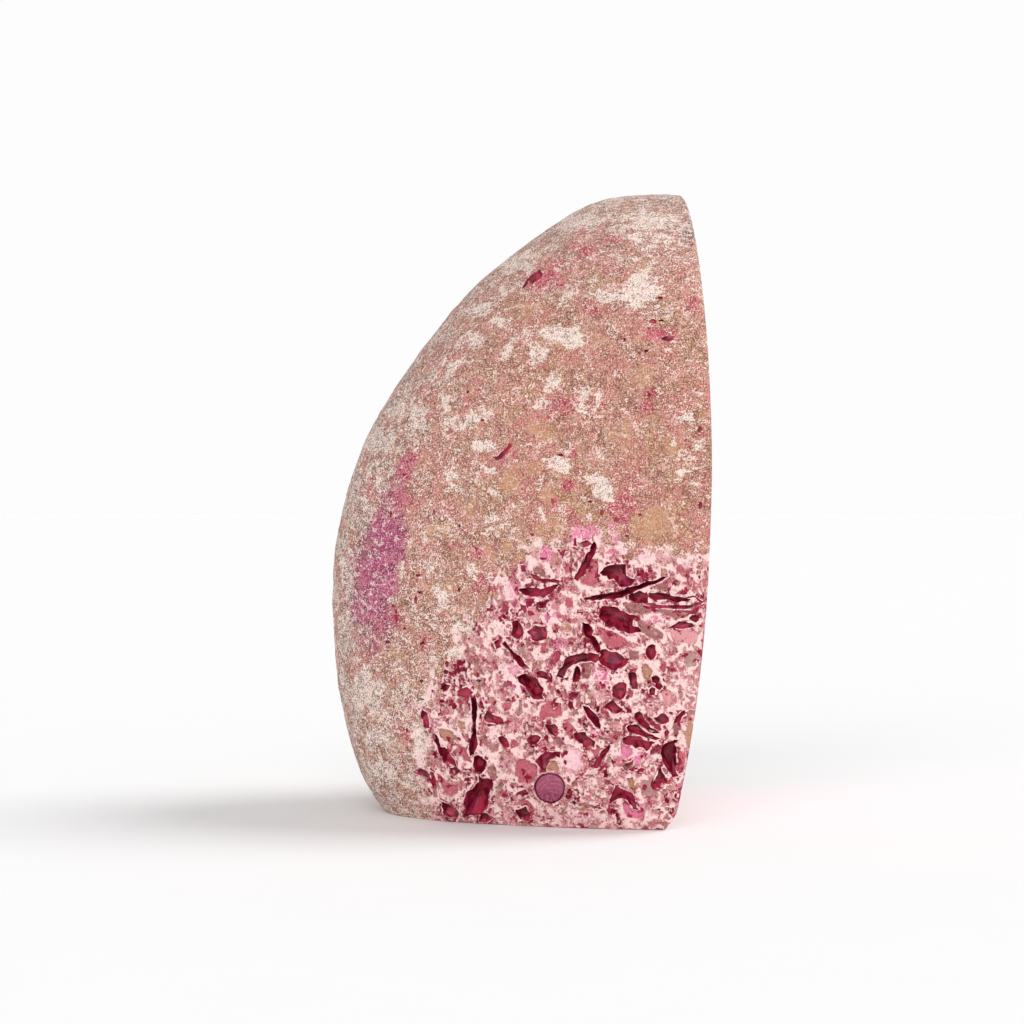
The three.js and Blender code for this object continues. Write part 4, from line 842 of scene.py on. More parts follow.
def refineZone(piece, side, cuts):  # smaller faces where the broken zone lies on one side
    rind = slotOrder.index("dyedRind")
    centres = np.array([tuple(face.center) for face in piece.data.polygons]) / mm
    inZone = (zoneDistance(centres) > -reliefShape["zoneMargin"]) & (centres[:, 0] * side > 2)
    editMesh(piece)
    selectFaces(piece, lambda face: inZone[face.index] and face.material_index == rind)
    bpy.ops.mesh.subdivide(number_cuts=cuts)
    startFresh()


def placeDice(place):  # the same throws at the same place, whatever order the points come in
    return random.Random(" ".join(f"{value:.1f}" for value in place))


def scatterCells(points, inZone):  # middles of the small cells, kept a step apart
    tried = [tuple(points[index]) for index in np.nonzero(inZone)[0]]
    tried.sort(key=lambda place: placeDice(place).random())
    kept = []
    for place in tried[:reliefShape["cellsTried"]]:
        if all(math.dist(place, other) > reliefShape["cellStep"] * scale for other, scale in kept):
            kept.append((place, placeDice(place).uniform(*reliefShape["cellSizes"])))
    return [place for place, _ in kept]


def stainAmount(points, name):  # 0 to about 1: placed stains on the pitted side, loose ones elsewhere
    shape = stainShape
    shifts = [noise.noise_vector(Vector(point) * shape["grain"]) for point in points]
    moved = points + np.array(shifts).reshape(-1, 3) * shape["shift"]
    amount = np.zeros(len(points))
    for along, up, length, height, strength in stains[name]:
        away = np.hypot((moved[:, 1] - along) / length, (moved[:, 2] - up) / height)
        amount = np.maximum(amount, strength * (1 - smoothStep(*shape["fade"], away)))
    amount *= 1 - smoothStep(*shape["placedTo"], points[:, 0])
    if name in looseStains:
        grain, free, strength = looseStains[name]
        start = Vector((len(name) * 7, 0, 0))
        places = [Vector(point) * grain + start for point in moved]
        fine, share = shape["fineGrain"], shape["fineShare"]
        loose = np.array([noise.noise(place) + share * noise.noise(place * fine) for place in places])
        loose = strength * smoothStep(free, free + shape["looseFade"], loose)
        amount = np.maximum(amount, loose * smoothStep(*shape["looseFrom"], points[:, 0]))
    return amount


def cellKinds(middles):  # for each cell its tone, the slope of its floor, and if it is a gap
    shape = reliefShape
    places = np.array(middles)
    wine, milk = stainAmount(places, "wine"), stainAmount(places, "milk")
    wine = np.where(places[:, 0] > 0, shape["farWine"], wine)
    gapBelow = shape["matrixShare"] + shape["milkMatrix"] * milk * (1 - wine)
    hollowAbove = 1 - shape["hollowShare"] - shape["wineHollow"] * wine * (1 - shape["milkHollow"] * milk)
    kinds = []
    for number, middle in enumerate(middles):
        roll, toneRoll, *slope = [placeDice(middle + (salt,)).random() for salt in range(4)]
        hollow = roll > hollowAbove[number]
        tone = "hollow" if hollow else toneMix[int(toneRoll * len(toneMix))]
        slope = Vector((0, 2 * slope[0] - 1, 2 * slope[1] - 1))
        kinds.append((toneNames.index(tone), slope, not hollow and roll < gapBelow[number]))
    return kinds


def measureCells(points, inZone):  # how far inside a small cell each point is, its tone and its tilt
    shape = reliefShape
    middles = scatterCells(points, inZone)
    kinds = cellKinds(middles)
    tree = KDTree(len(middles))
    for number, middle in enumerate(middles):
        tree.insert(Vector(middle), number)
    tree.balance()
    edges = np.full(len(points), -float(reachLimit))
    tones = np.zeros(len(points))
    tilts = np.full(len(points), 0.5)
    for index in np.nonzero(inZone)[0]:
        place = Vector(points[index])
        shifts = [noise.noise_vector(place * grain) * shift for grain, shift in shape["cellWarps"]]
        place += sum(shifts, Vector())
        (middle, number, near), (_, _, far) = tree.find_n(place, 2)
        tones[index], slope, isGap = kinds[number]
        edge = 0.5 * (far - near) - shape["ridgeHalf"]
        edges[index] = -shape["gapDrop"] - edge if isGap else edge
        tilts[index] = 0.5 + shape["slope"] * (place - middle).dot(slope)
    return edges, tones, tilts


def placeFragments(points, onNearSide, pitGap, edges, tones):  # drawn shards take the place of cells
    shape = reliefShape
    for name, *flat in nearFragments:
        distance = np.where(onNearSide, edgeDistance(points[:, 1:3], pairs(flat)), -farAway)
        distance = np.minimum(distance, pitGap - shape["fragmentRim"])
        clear = np.maximum(distance + shape["fragmentClear"], 0)
        edges = np.where(distance > -shape["fragmentReach"], np.minimum(edges, -clear), edges)
        closer = (distance > edges) & (distance > -shape["fragmentBorder"])
        edges = np.where(closer, distance, edges)
        tones = np.where(closer, toneNames.index(name), tones)
    return edges, tones


def eyeDistance(points, onNearSide):  # how far outside the round eye
    away = np.hypot(points[:, 1] - eyePlace["along"], points[:, 2] - eyePlace["up"])
    return np.where(onNearSide, away - eyePlace["radius"], farAway)


def measureZone(piece):  # how far the skin of the broken zone is sunk, and where its ridges run
    shape = reliefShape
    points = meshPoints(piece)
    zone = zoneDistance(points)
    onRind = readFrom(piece, "ring") > stoneShape["faceRings"] - 0.5
    inZone = (zone > -shape["zoneMargin"]) & onRind
    onNearSide = points[:, 0] < -shape["sideFrom"]
    pitGap = pitDistance(points, onNearSide)
    eyeAway = eyeDistance(points, onNearSide)
    edges, tones, tilts = measureCells(points, inZone)
    edges = np.minimum(edges, pitGap - shape["mouthRim"])
    edges, tones = placeFragments(points, onNearSide, pitGap, edges, tones)
    edges = np.minimum(edges, eyeAway - shape["mouthRim"])
    storeOn(piece, "shardEdge", np.clip(edges, -reachLimit, reachLimit))
    storeOn(piece, "shardTone", (tones + 0.5) / len(toneNames))
    least, most = shape["floorShares"]
    walls = smoothStep(0, shape["shardWall"], edges) * (least + most * np.clip(tilts, 0, 1))
    hollow = tones == toneNames.index("hollow")
    sunk = walls * np.where(hollow, shape["hollowDepth"], shape["shardDepth"])
    groove = eyePlace["groove"] * (1 - smoothStep(*eyePlace["grooveEdge"], np.abs(eyeAway)))
    sunk = np.maximum(sunk, groove)
    away = np.minimum(np.abs(edges), np.abs(pitGap - shape["ridgeTop"]))
    breaks = np.array([noise.noise(Vector(point) * shape["ridgeGrain"]) for point in points])
    ridge = 1 - smoothStep(shape["ridgeTop"], shape["ridgeWidth"], away)
    ridge *= (1 - walls) * (eyeAway > eyePlace["calm"])
    ridge *= smoothStep(-shape["ridgeBreaks"], shape["ridgeBreaks"], breaks)
    inside = smoothStep(*shape["borderFade"], zone) * onRind
    return sunk * inside, ridge * inside


def weigh(piece, name, weights):  # a vertex group from numbers between 0 and 1
    group = piece.vertex_groups.new(name=name)
    levels = reliefShape["levels"]
    steps = np.round(np.clip(weights, 0, 1) * levels).astype(int)
    for step in range(1, levels + 1):
        chosen = np.nonzero(steps == step)[0].tolist()
        if chosen:
            group.add(chosen, step / levels, "REPLACE")


def clouds(name, grain):
    texture = bpy.data.textures.new(name, "CLOUDS")
    texture.noise_scale = grain * mm
    texture.noise_depth = 2
    return texture


def pushOut(piece, group, height, texture=None):
    settings = {"texture": texture, "texture_coords": "LOCAL"} if texture else {}
    middle = 0.5 if texture else 0.0
    applyModifier(piece, "DISPLACE", strength=height * mm, mid_level=middle, vertex_group=group, **settings)


def raiseRelief(piece):
    shape = reliefShape
    low, high = (stoneShape["faceRings"] + fade for fade in shape["rimFade"])
    aboveFoot = meshPoints(piece)[:, 2]
    rind = smoothStep(low, high, readFrom(piece, "ring")) * smoothStep(0, shape["footFade"], aboveFoot)
    sunk, ridge = measureZone(piece)
    deepest = sunk.max()
    weigh(piece, "rindArea", rind)
    weigh(piece, "sunkShards", rind * sunk / deepest)
    weigh(piece, "ridges", rind * ridge)
    pushOut(piece, "sunkShards", -deepest)
    pushOut(piece, "ridges", shape["ridgeHeight"])
    for number, (grain, height) in enumerate(shape["bumps"]):
        pushOut(piece, "rindArea", height, clouds("rindBumps" + str(number), grain))


def skinTree(piece):
    corners = [vertex.co.copy() for vertex in piece.data.vertices]
    return BVHTree.FromPolygons(corners, [tuple(face.vertices) for face in piece.data.polygons])


def measurePits(piece, skin):  # depth inside the pits, and distance to the nearest mouth outside them
    rind, pit = slotOrder.index("dyedRind"), slotOrder.index("pitCrimson")
    vertices = piece.data.vertices
    onRind, onPit = np.zeros(len(vertices), bool), np.zeros(len(vertices), bool)
    for face in piece.data.polygons:
        flags = {rind: onRind, pit: onPit}.get(face.material_index)
        if flags is not None:
            flags[list(face.vertices)] = True
    mouths = np.nonzero(onPit & onRind)[0]
    tree = KDTree(len(mouths))
    for index in mouths:
        tree.insert(vertices[index].co, int(index))
    tree.balance()
    depth = np.zeros(len(vertices))
    gap = np.full(len(vertices), float(reachLimit))
    for index in np.nonzero(onPit & ~onRind)[0]:
        depth[index] = skin.find_nearest(vertices[index].co)[3] / mm
    for index in np.nonzero(onRind)[0]:
        gap[index] = min(reachLimit, tree.find(vertices[index].co)[2] / mm)
    storeOn(piece, "pitDepth", depth)
    storeOn(piece, "mouthGap", gap)


def measureStains(piece):
    points = meshPoints(piece)
    for name in stains:
        storeOn(piece, name, stainAmount(points, name))
    storeOn(piece, "zoneEdge", np.clip(zoneDistance(points), -zoneReach, zoneReach))


def measureInward(piece):  # how far inside the outline of the polished face
    points = meshPoints(piece)
    above = points[:, 2] - stoneShape["faceCentre"]
    reach = np.hypot(points[:, 0], above)
    angle = np.arctan2(above, points[:, 0])
    rim = np.nonzero(np.abs(readFrom(piece, "ring") - stoneShape["faceRings"] + 1) < 0.02)[0]
    rim = rim[np.argsort(angle[rim])]
    inward = np.interp(angle, angle[rim], reach[rim], period=2 * math.pi) - reach
    storeOn(piece, "inward", np.clip(inward, 0, inwardReach))


def tint(red, green, blue):  # a screen colour as the shader wants it
    shares = [value / 255 for value in (red, green, blue)]
    return (*[share / 12.92 if share <= 0.04045 else ((share + 0.055) / 1.055) ** 2.4 for share in shares], 1)


def tints(colours):
    return {name: tint(*value) for name, value in colours.items()}


class Finish:  # short words for the nodes of one material, with places in millimetres
    def __init__(self, name):
        self.material = bpy.data.materials.new(name)
        self.material.use_nodes = True
        self.tree = self.material.node_tree
        self.shader = self.tree.nodes["Principled BSDF"]
        coordinates = self.tree.nodes.new("ShaderNodeTexCoord")
        self.place = self.vector("SCALE", coordinates.outputs["Object"], scale=1 / mm)
        self.normal = coordinates.outputs["Normal"]

    def plug(self, socket, value):
        if isinstance(value, bpy.types.NodeSocket):
            self.tree.links.new(value, socket)
        else:
            socket.default_value = value

    def vector(self, operation, first, second=None, scale=None):
        node = self.tree.nodes.new("ShaderNodeVectorMath")
        node.operation = operation
        self.plug(node.inputs[0], first)
        if second is not None:
            self.plug(node.inputs[1], second)
        if scale is not None:
            self.plug(node.inputs["Scale"], scale)
        return node.outputs["Value" if operation in ("LENGTH", "DOT_PRODUCT") else "Vector"]

    def number(self, operation, first, second=0.0):
        node = self.tree.nodes.new("ShaderNodeMath")
        node.operation = operation
        self.plug(node.inputs[0], first)
        self.plug(node.inputs[1], second)
        return node.outputs[0]

    def times(self, *values):
        result = values[0]
        for value in values[1:]:
            result = self.number("MULTIPLY", result, value)
        return result

    def plus(self, *values):
        result = values[0]
        for value in values[1:]:
            result = self.number("ADD", result, value)
        return result

    def most(self, first, second):  # the larger of the two
        return self.number("MAXIMUM", first, second)

    def without(self, share, whole=1.0):
        return self.number("SUBTRACT", whole, share)

    def rise(self, value, low, high):  # 0 below low, 1 above high
        node = self.tree.nodes.new("ShaderNodeMapRange")
        node.interpolation_type = "SMOOTHSTEP"
        self.plug(node.inputs["Value"], value)
        self.plug(node.inputs["From Min"], low)
        self.plug(node.inputs["From Max"], high)
        return node.outputs["Result"]

    def fall(self, value, low, high):  # 1 below low, 0 above high
        return self.without(self.rise(value, low, high))

    def mix(self, share, first, second):
        node = self.tree.nodes.new("ShaderNodeMix")
        node.data_type = "RGBA"
        self.plug(node.inputs[0], share)
        self.plug(node.inputs[6], first)
        self.plug(node.inputs[7], second)
        return node.outputs[2]

    def lay(self, under, over, *shares):  # a layer of colour, as strong as the product of the shares
        return self.mix(self.times(*shares), under, over)

    def noise(self, scale, detail=2.0, rough=0.5, place=None, output="Fac"):
        node = self.tree.nodes.new("ShaderNodeTexNoise")
        self.plug(node.inputs["Vector"], place or self.place)
        node.inputs["Scale"].default_value = scale
        node.inputs["Detail"].default_value = detail
        node.inputs["Roughness"].default_value = rough
        return node.outputs[output]

    def patches(self, name):  # soft-edged islands where a noise is high
        scale, detail, rough, low, high = patchGrain[name]
        return self.rise(self.noise(scale, detail, rough), low, high)

    def sway(self, scale, detail, amount):  # noise from minus to plus half the amount
        return self.times(self.plus(self.noise(scale, detail, 0.6), -0.5), amount)

    def warped(self, scale, amount, detail=2.0):
        shift = self.vector("SUBTRACT", self.noise(scale, detail, output="Color"), (0.5, 0.5, 0.5))
        return self.vector("ADD", self.place, self.vector("SCALE", shift, scale=amount))

    def cells(self, scale, feature="F1", place=None):
        node = self.tree.nodes.new("ShaderNodeTexVoronoi")
        node.feature = feature
        self.plug(node.inputs["Vector"], place or self.place)
        node.inputs["Scale"].default_value = scale
        return node

    def picks(self, scale, place):  # three random numbers for each small cell
        return self.parts("ShaderNodeSeparateColor", self.cells(scale, "F1", place).outputs["Color"])

    def parts(self, kind, value):
        node = self.tree.nodes.new(kind)
        self.plug(node.inputs[0], value)
        return node.outputs[0], node.outputs[1], node.outputs[2]

    def ramp(self, value, stops, steps=False):
        node = self.tree.nodes.new("ShaderNodeValToRGB")
        node.color_ramp.interpolation = "CONSTANT" if steps else "LINEAR"
        while len(node.color_ramp.elements) < len(stops):
            node.color_ramp.elements.new(0.5)
        for element, (position, colour) in zip(node.color_ramp.elements, stops):
            element.position = position
            element.color = colour
        self.plug(node.inputs["Fac"], value)
        return node.outputs["Color"]

    def carried(self, name):  # a number stored on the points
        node = self.tree.nodes.new("ShaderNodeAttribute")
        node.attribute_name = name
        return node.outputs["Fac"]

    def finishWith(self, colour, rough, height, depth, strength=1.0):
        self.plug(self.shader.inputs["Base Color"], colour)
        self.plug(self.shader.inputs["Roughness"], rough)
        node = self.tree.nodes.new("ShaderNodeBump")
        node.inputs["Strength"].default_value = strength
        node.inputs["Distance"].default_value = depth * mm
        self.plug(node.inputs["Height"], height)
        self.plug(self.shader.inputs["Normal"], node.outputs["Normal"])
        return self.material


rindLook = {
    "tanDeep": (152, 102, 80), "tanLight": (208, 157, 133), "dustyPink": (202, 130, 120),
    "paleBeige": (200, 177, 168), "backBeige": (176, 134, 120),
    "mottleDark": (160, 98, 82), "mottlePale": (228, 188, 178),
    "ochre": (202, 154, 114), "olive": (184, 138, 100), "rosy": (200, 92, 110), "ember": (170, 28, 58),
    "plumPale": (208, 118, 148), "plum": (176, 66, 110), "frost": (249, 230, 220), "milk": (252, 216, 216),
    "hotPink": (240, 136, 176), "hotCore": (226, 70, 134), "violet": (190, 52, 128),
    "dark": (94, 54, 44), "darkPale": (78, 58, 52), "darkPlum": (86, 14, 42),
    "chip": (108, 82, 98), "cream": (246, 212, 194), "creamPlum": (246, 180, 202), "crimson": (136, 6, 42),
}
zoneLook = {
    "ridge": (252, 218, 214), "matrix": (220, 152, 162), "matrixDeep": (196, 112, 126),
    "dust": (242, 197, 199), "grain": (124, 56, 70), "grit": (150, 108, 106),
}
shardLook = {
    "mauve": (166, 108, 104), "tan": (188, 138, 112), "rose": (194, 96, 110), "deepRose": (164, 50, 78),
    "grey": (182, 142, 134), "pink": (226, 158, 161), "blush": (250, 208, 216), "hollow": (140, 8, 44),
}
toneNames = list(shardLook)
toneMix = ["rose", "mauve", "deepRose", "tan", "rose", "pink", "deepRose", "grey", "pink", "mauve"]
hollowFrom = (len(toneNames) - 1) / len(toneNames)
patchGrain = {  # scale, detail and roughness of the noise, and where a patch begins and is full
    "tan": (0.42, 5, 0.75, 0.4, 0.6), "olive": (0.11, 5, 0.7, 0.5, 0.57),
    "dusty": (0.16, 5, 0.7, 0.48, 0.55), "plum": (0.7, 4, 0.7, 0.38, 0.6),
    "pale": (0.3, 4, 0.6, 0.28, 0.56), "clump": (0.3, 5, 0.7, 0.53, 0.63),
    "fringe": (0.4, 4, 0.7, 0.49, 0.56), "flesh": (0.7, 3, 0.6, 0.44, 0.6),
    "mouthRims": (0.55, 3, 0.6, 0.49, 0.55), "ridges": (0.6, 3, 0.6, 0.44, 0.54),
    "matrix": (0.9, 4, 0.7, 0.4, 0.6), "grit": (0.32, 3, 0.6, 0.5, 0.58),
    "gritGrain": (2.4, 3, 0.7, 0.5, 0.6), "lilac": (0.3, 2, 0.5, 0.58, 0.68),
    "shardPale": (0.7, 4, 0.7, 0.5, 0.7), "shardDark": (1.6, 3, 0.7, 0.55, 0.66),
    "eyePale": (1.1, 3, 0.5, 0.4, 0.6), "eyeDeep": (1.6, 4, 0.7, 0.38, 0.6),
    "cutMatrix": (0.8, 4, 0.7, 0.38, 0.66), "corePink": (0.12, 4, 0.6, 0.5, 0.66),
}
stainBorder = {  # scale of the ragged border, how far it wanders, where the stain begins and is full
    "ochre": (0.4, 2.4, 0.1, 0.9), "plum": (0.7, 1.5, -0.1, 1.05), "rosy": (0.6, 2.4, 0.05, 0.85),
    "chip": (1.5, 1.6, 0.3, 0.8), "wine": (0.6, 1.6, 0.4, 0.9), "milk": (0.6, 2.8, 0.75, 0.95),
    "fuchsia": (0.5, 1.6, 0.1, 0.9), "fuchsiaCore": (1.0, 1.6, 0.95, 1.25), "violet": (0.7, 1.2, 0.25, 0.9),
}
speckles = {  # noise values where each kind of speckle begins and is full
    "crust": (0.605, 0.655), "crustHoles": (0.31, 0.45), "frost": (0.555, 0.605), "cream": (0.54, 0.61),
    "soot": (0.415, 0.475), "dots": (0.1, 0.22), "dotsKept": (0.7, 0.72),
    "crustNoise": (0.85, 6, 0.75), "grainNoise": (3.9, 2, 0.65), "fineNoise": (1.1, 4, 0.7),
    "drawnOut": (1, 0.65, 1.25),  # the crust is drawn out along the stone
}
paleAreas = {  # where the rind begins to turn pale and where it is palest, and how strongly
    "back": (-8.0, 28.0, 0.6), "top": (84.0, 116.0, 0.45), "ridgeLine": (6.0, 24.0, 0.5),
}
splinter = {
    "cell": 0.85, "fine": 2.1, "warp": (0.9, 1.5, 3), "edge": (0.05, 0.12), "bite": 0.5, "bleed": 1.3,
    "overhang": 2.4, "shardSway": (1.6, 4, 0.7),
}
eyeLook = {
    "body": (164, 80, 108), "pale": (194, 132, 152), "rim": (96, 14, 46), "deep": (126, 32, 68),
    "paintedGlint": (222, 172, 188),
}


def shardColour(look, tone):
    stops = [(i / len(toneNames), tint(*shardLook[name])) for i, name in enumerate(toneNames)]
    return look.ramp(tone, stops, steps=True)


def mixedShard(look, tone):
    stops = [(i / len(toneMix), tint(*shardLook[name])) for i, name in enumerate(toneMix)]
    return look.ramp(tone, stops, steps=True)


def stained(look, name, border=None):  # share of a stain, with a ragged border
    scale, wander, low, high = stainBorder[border or name]
    return look.rise(look.plus(look.carried(name), look.sway(scale, 5, wander)), low, high)


def drawnNoise(look, name):
    place = look.vector("MULTIPLY", look.place, speckles["drawnOut"])
    return look.noise(*speckles[name], place)


def shardBorder(look):  # how far inside a shard, with a ragged border
    return look.plus(look.carried("shardEdge"), look.sway(*splinter["shardSway"]))


def splinterBodies(look, splintered):
    gap = look.cells(splinter["cell"], "DISTANCE_TO_EDGE", splintered).outputs["Distance"]
    return look.rise(gap, *splinter["edge"])


def plainRind(look, paleness):
    hues = tints(rindLook)
    colour = look.mix(look.patches("tan"), hues["tanDeep"], hues["tanLight"])
    colour = look.lay(colour, hues["olive"], look.patches("olive"), 0.8)
    colour = look.lay(colour, hues["dustyPink"], look.patches("dusty"), 0.9)
    backward = look.parts("ShaderNodeSeparateXYZ", look.place)[1]
    beige = look.mix(look.rise(backward, -14.0, 4.0), hues["paleBeige"], hues["backBeige"])
    colour = look.lay(colour, beige, paleness, 0.75)
    mottle = look.noise(0.33, 5, 0.8)
    colour = look.lay(colour, hues["mottleDark"], look.fall(mottle, 0.4, 0.46), 0.45)
    colour = look.lay(colour, hues["mottlePale"], look.rise(mottle, 0.54, 0.6), 0.45)
    colour = look.lay(colour, hues["ochre"], stained(look, "ochre"), 0.8)
    plum = look.mix(look.patches("plum"), hues["plumPale"], hues["plum"])
    colour = look.lay(colour, plum, stained(look, "plum"), 0.95)
    rosy = stained(look, "rosy")
    colour = look.lay(colour, hues["rosy"], rosy, 0.9)
    colour = look.lay(colour, hues["chip"], stained(look, "chip"), 0.75)
    ember = look.rise(look.plus(rosy, look.sway(1.2, 3, 1.4)), 0.95, 1.15)
    return look.lay(colour, hues["ember"], ember, 0.8)


def brokenZone(look, splintered):
    hues = tints(zoneLook)
    wine, milk = look.carried("wine"), look.carried("milk")
    colour = look.mix(look.patches("matrix"), hues["matrix"], hues["matrixDeep"])
    dust = look.plus(look.noise(0.55, 5, 0.75), look.times(milk, 0.1), look.times(wine, -0.06))
    colour = look.mix(look.rise(dust, 0.535, 0.595), colour, hues["dust"])
    colour = look.lay(colour, tint(*shardLook["rose"]), stained(look, "wine"), 0.6)
    colour = look.lay(colour, hues["grit"], look.patches("grit"), look.patches("gritGrain"), 0.7)
    # the finest splinters first, then larger ones, then the shards
    pick, tone, _ = look.picks(splinter["fine"], splintered)
    kept = look.rise(look.plus(pick, look.times(milk, -0.2)), 0.5, 0.51)
    colour = look.lay(colour, mixedShard(look, tone), kept, 0.8)
    pick, tone, _ = look.picks(splinter["cell"], splintered)
    kept = look.rise(look.plus(pick, look.times(milk, -0.25)), 0.26, 0.28)
    colour = look.lay(colour, mixedShard(look, tone), splinterBodies(look, splintered), kept, 0.9)
    shard = shardColour(look, look.carried("shardTone"))
    shard = look.lay(shard, hues["matrix"], look.patches("shardPale"), 0.35)
    shard = look.lay(shard, hues["grain"], look.patches("shardDark"), 0.3)
    edge = look.plus(shardBorder(look), look.times(look.plus(pick, -0.5), splinter["bite"]))
    return look.mix(look.rise(edge, 0.0, 0.14), colour, shard)


def crimsonShare(look, splintered):  # hollow cells, splinters, and what has bled round the pits
    wine, milk = look.carried("wine"), look.carried("milk")
    pick, _, chance = look.picks(splinter["cell"], splintered)
    hollow = look.rise(look.carried("shardTone"), hollowFrom - 0.02, hollowFrom)
    hollow = look.times(look.rise(shardBorder(look), -0.05, 0.1), hollow)
    favour = look.plus(look.times(wine, 0.36), look.times(milk, -0.1), chance)
    splinters = look.times(look.rise(favour, 0.88, 0.89), splinterBodies(look, splintered))
    streaks = look.noise(1.3, 4, 0.7, look.warped(0.6, 2.0))
    streaks = look.rise(look.plus(streaks, look.times(wine, 0.1)), 0.64, 0.66)
    mouth = look.plus(look.carried("mouthGap"), look.times(look.plus(pick, -0.6), splinter["bleed"]))
    bled = look.fall(mouth, 0.1, 0.25)
    return look.most(look.most(hollow, splinters), look.most(streaks, bled))


def addEye(look, colour, x, z):  # the round eye low on the pitted side
    hues = tints(eyeLook)
    along, up, radius = (eyePlace[name] for name in ("along", "up", "radius"))
    flat = look.vector("SUBTRACT", look.warped(0.35, 0.7, 1), (0, along, up))
    flat = look.vector("MULTIPLY", flat, (0, 1, 1))
    away = look.vector("LENGTH", flat)
    arcs = look.vector("LENGTH", look.vector("ADD", flat, (0, 0.6, 1.6)))  # round a point below the middle
    arcs = look.rise(look.number("SINE", look.times(arcs, 8.0)), 0.0, 1.0)
    eye = look.lay(hues["body"], hues["pale"], arcs, look.patches("eyePale"), 0.5)
    low = look.fall(z, up - 1.4, up + 0.6)
    eye = look.lay(eye, hues["deep"], low, look.patches("eyeDeep"), 0.8)
    # painted glints: small pale dots all over the eye
    paintedGlint = look.fall(look.cells(2.0).outputs["Distance"], 0.1, 0.22)
    eye = look.lay(eye, hues["paintedGlint"], paintedGlint, 0.4)
    eye = look.mix(look.rise(away, radius - 0.32, radius - 0.16), eye, hues["rim"])
    share = look.times(look.fall(away, radius, radius + 0.1), look.fall(x, -5.0, 0.0))
    return look.mix(share, colour, eye), share


def speckleSkin(look, colour, inZone, milk, paleness, grain, fine):
    hues = tints(rindLook)
    onShard = look.rise(look.carried("shardEdge"), 0.0, 0.2)
    calm = look.times(inZone, look.plus(0.55, look.times(onShard, 0.3)))
    calm = look.most(calm, look.times(stained(look, "ochre"), 0.45))
    calm = look.most(calm, look.times(milk, 0.8))
    quiet = look.without(calm)
    plum = look.rise(look.carried("plum"), 0.1, 0.8)
    ragged = drawnNoise(look, "crustNoise")
    crust = look.plus(look.times(look.carried("frost"), 0.26), ragged, look.times(paleness, 0.13))
    crust = look.times(look.rise(crust, *speckles["crust"]), look.without(look.times(inZone, 0.6)))
    crust = look.times(crust, look.rise(fine, *speckles["crustHoles"]))
    colour = look.lay(colour, hues["frost"], crust, 0.92)
    score = look.plus(look.times(grain, 0.45), look.times(fine, 0.55),
                      look.times(look.patches("clump"), 0.075))
    score = look.plus(score, look.times(paleness, 0.065), look.times(plum, -0.08))
    colour = look.lay(colour, hues["frost"], look.rise(score, *speckles["frost"]), quiet, 0.8)
    cream = look.mix(plum, hues["cream"], hues["creamPlum"])
    colour = look.lay(colour, cream, look.rise(grain, *speckles["cream"]), quiet, 0.5)
    dark = look.mix(plum, look.mix(paleness, hues["dark"], hues["darkPale"]), hues["darkPlum"])
    soot = look.plus(grain, look.sway(0.5, 4, 0.25), look.times(plum, -0.02), look.times(paleness, -0.03))
    darkness = look.plus(0.68, look.times(paleness, 0.27))
    colour = look.lay(colour, dark, look.fall(soot, *speckles["soot"]), quiet, darkness)
    dots = look.cells(0.6)
    pick = look.parts("ShaderNodeSeparateColor", dots.outputs["Color"])[0]
    dot = look.times(look.fall(dots.outputs["Distance"], *speckles["dots"]),
                     look.rise(pick, *speckles["dotsKept"]))
    return look.lay(colour, hues["crimson"], dot, look.plus(0.45, look.times(inZone, 0.5)))


def rindPaleness(look, x, y, z):  # the back, the top and the middle of the dome are paler
    backFrom, backTo, back = paleAreas["back"]
    topFrom, topTo, top = paleAreas["top"]
    lineFrom, lineTo, line = paleAreas["ridgeLine"]
    ridgeLine = look.fall(look.number("ABSOLUTE", x), lineFrom, lineTo)
    back = look.times(look.rise(y, backFrom, backTo), back)
    top = look.times(look.rise(z, topFrom, topTo), top)
    paleness = look.plus(back, top, look.times(ridgeLine, line))
    return look.number("MINIMUM", look.times(paleness, look.patches("pale")), 1.0)


def whiteRims(look):  # pale lines round the pits and between the shards
    mouth = look.plus(look.carried("mouthGap"), look.sway(1.4, 3, 0.9))
    rims = look.times(look.fall(mouth, 0.05, 0.35), look.patches("mouthRims"))
    edge = shardBorder(look)
    ridges = look.times(look.rise(edge, -0.45, -0.2), look.fall(edge, -0.02, 0.1), look.patches("ridges"))
    return look.most(rims, ridges)


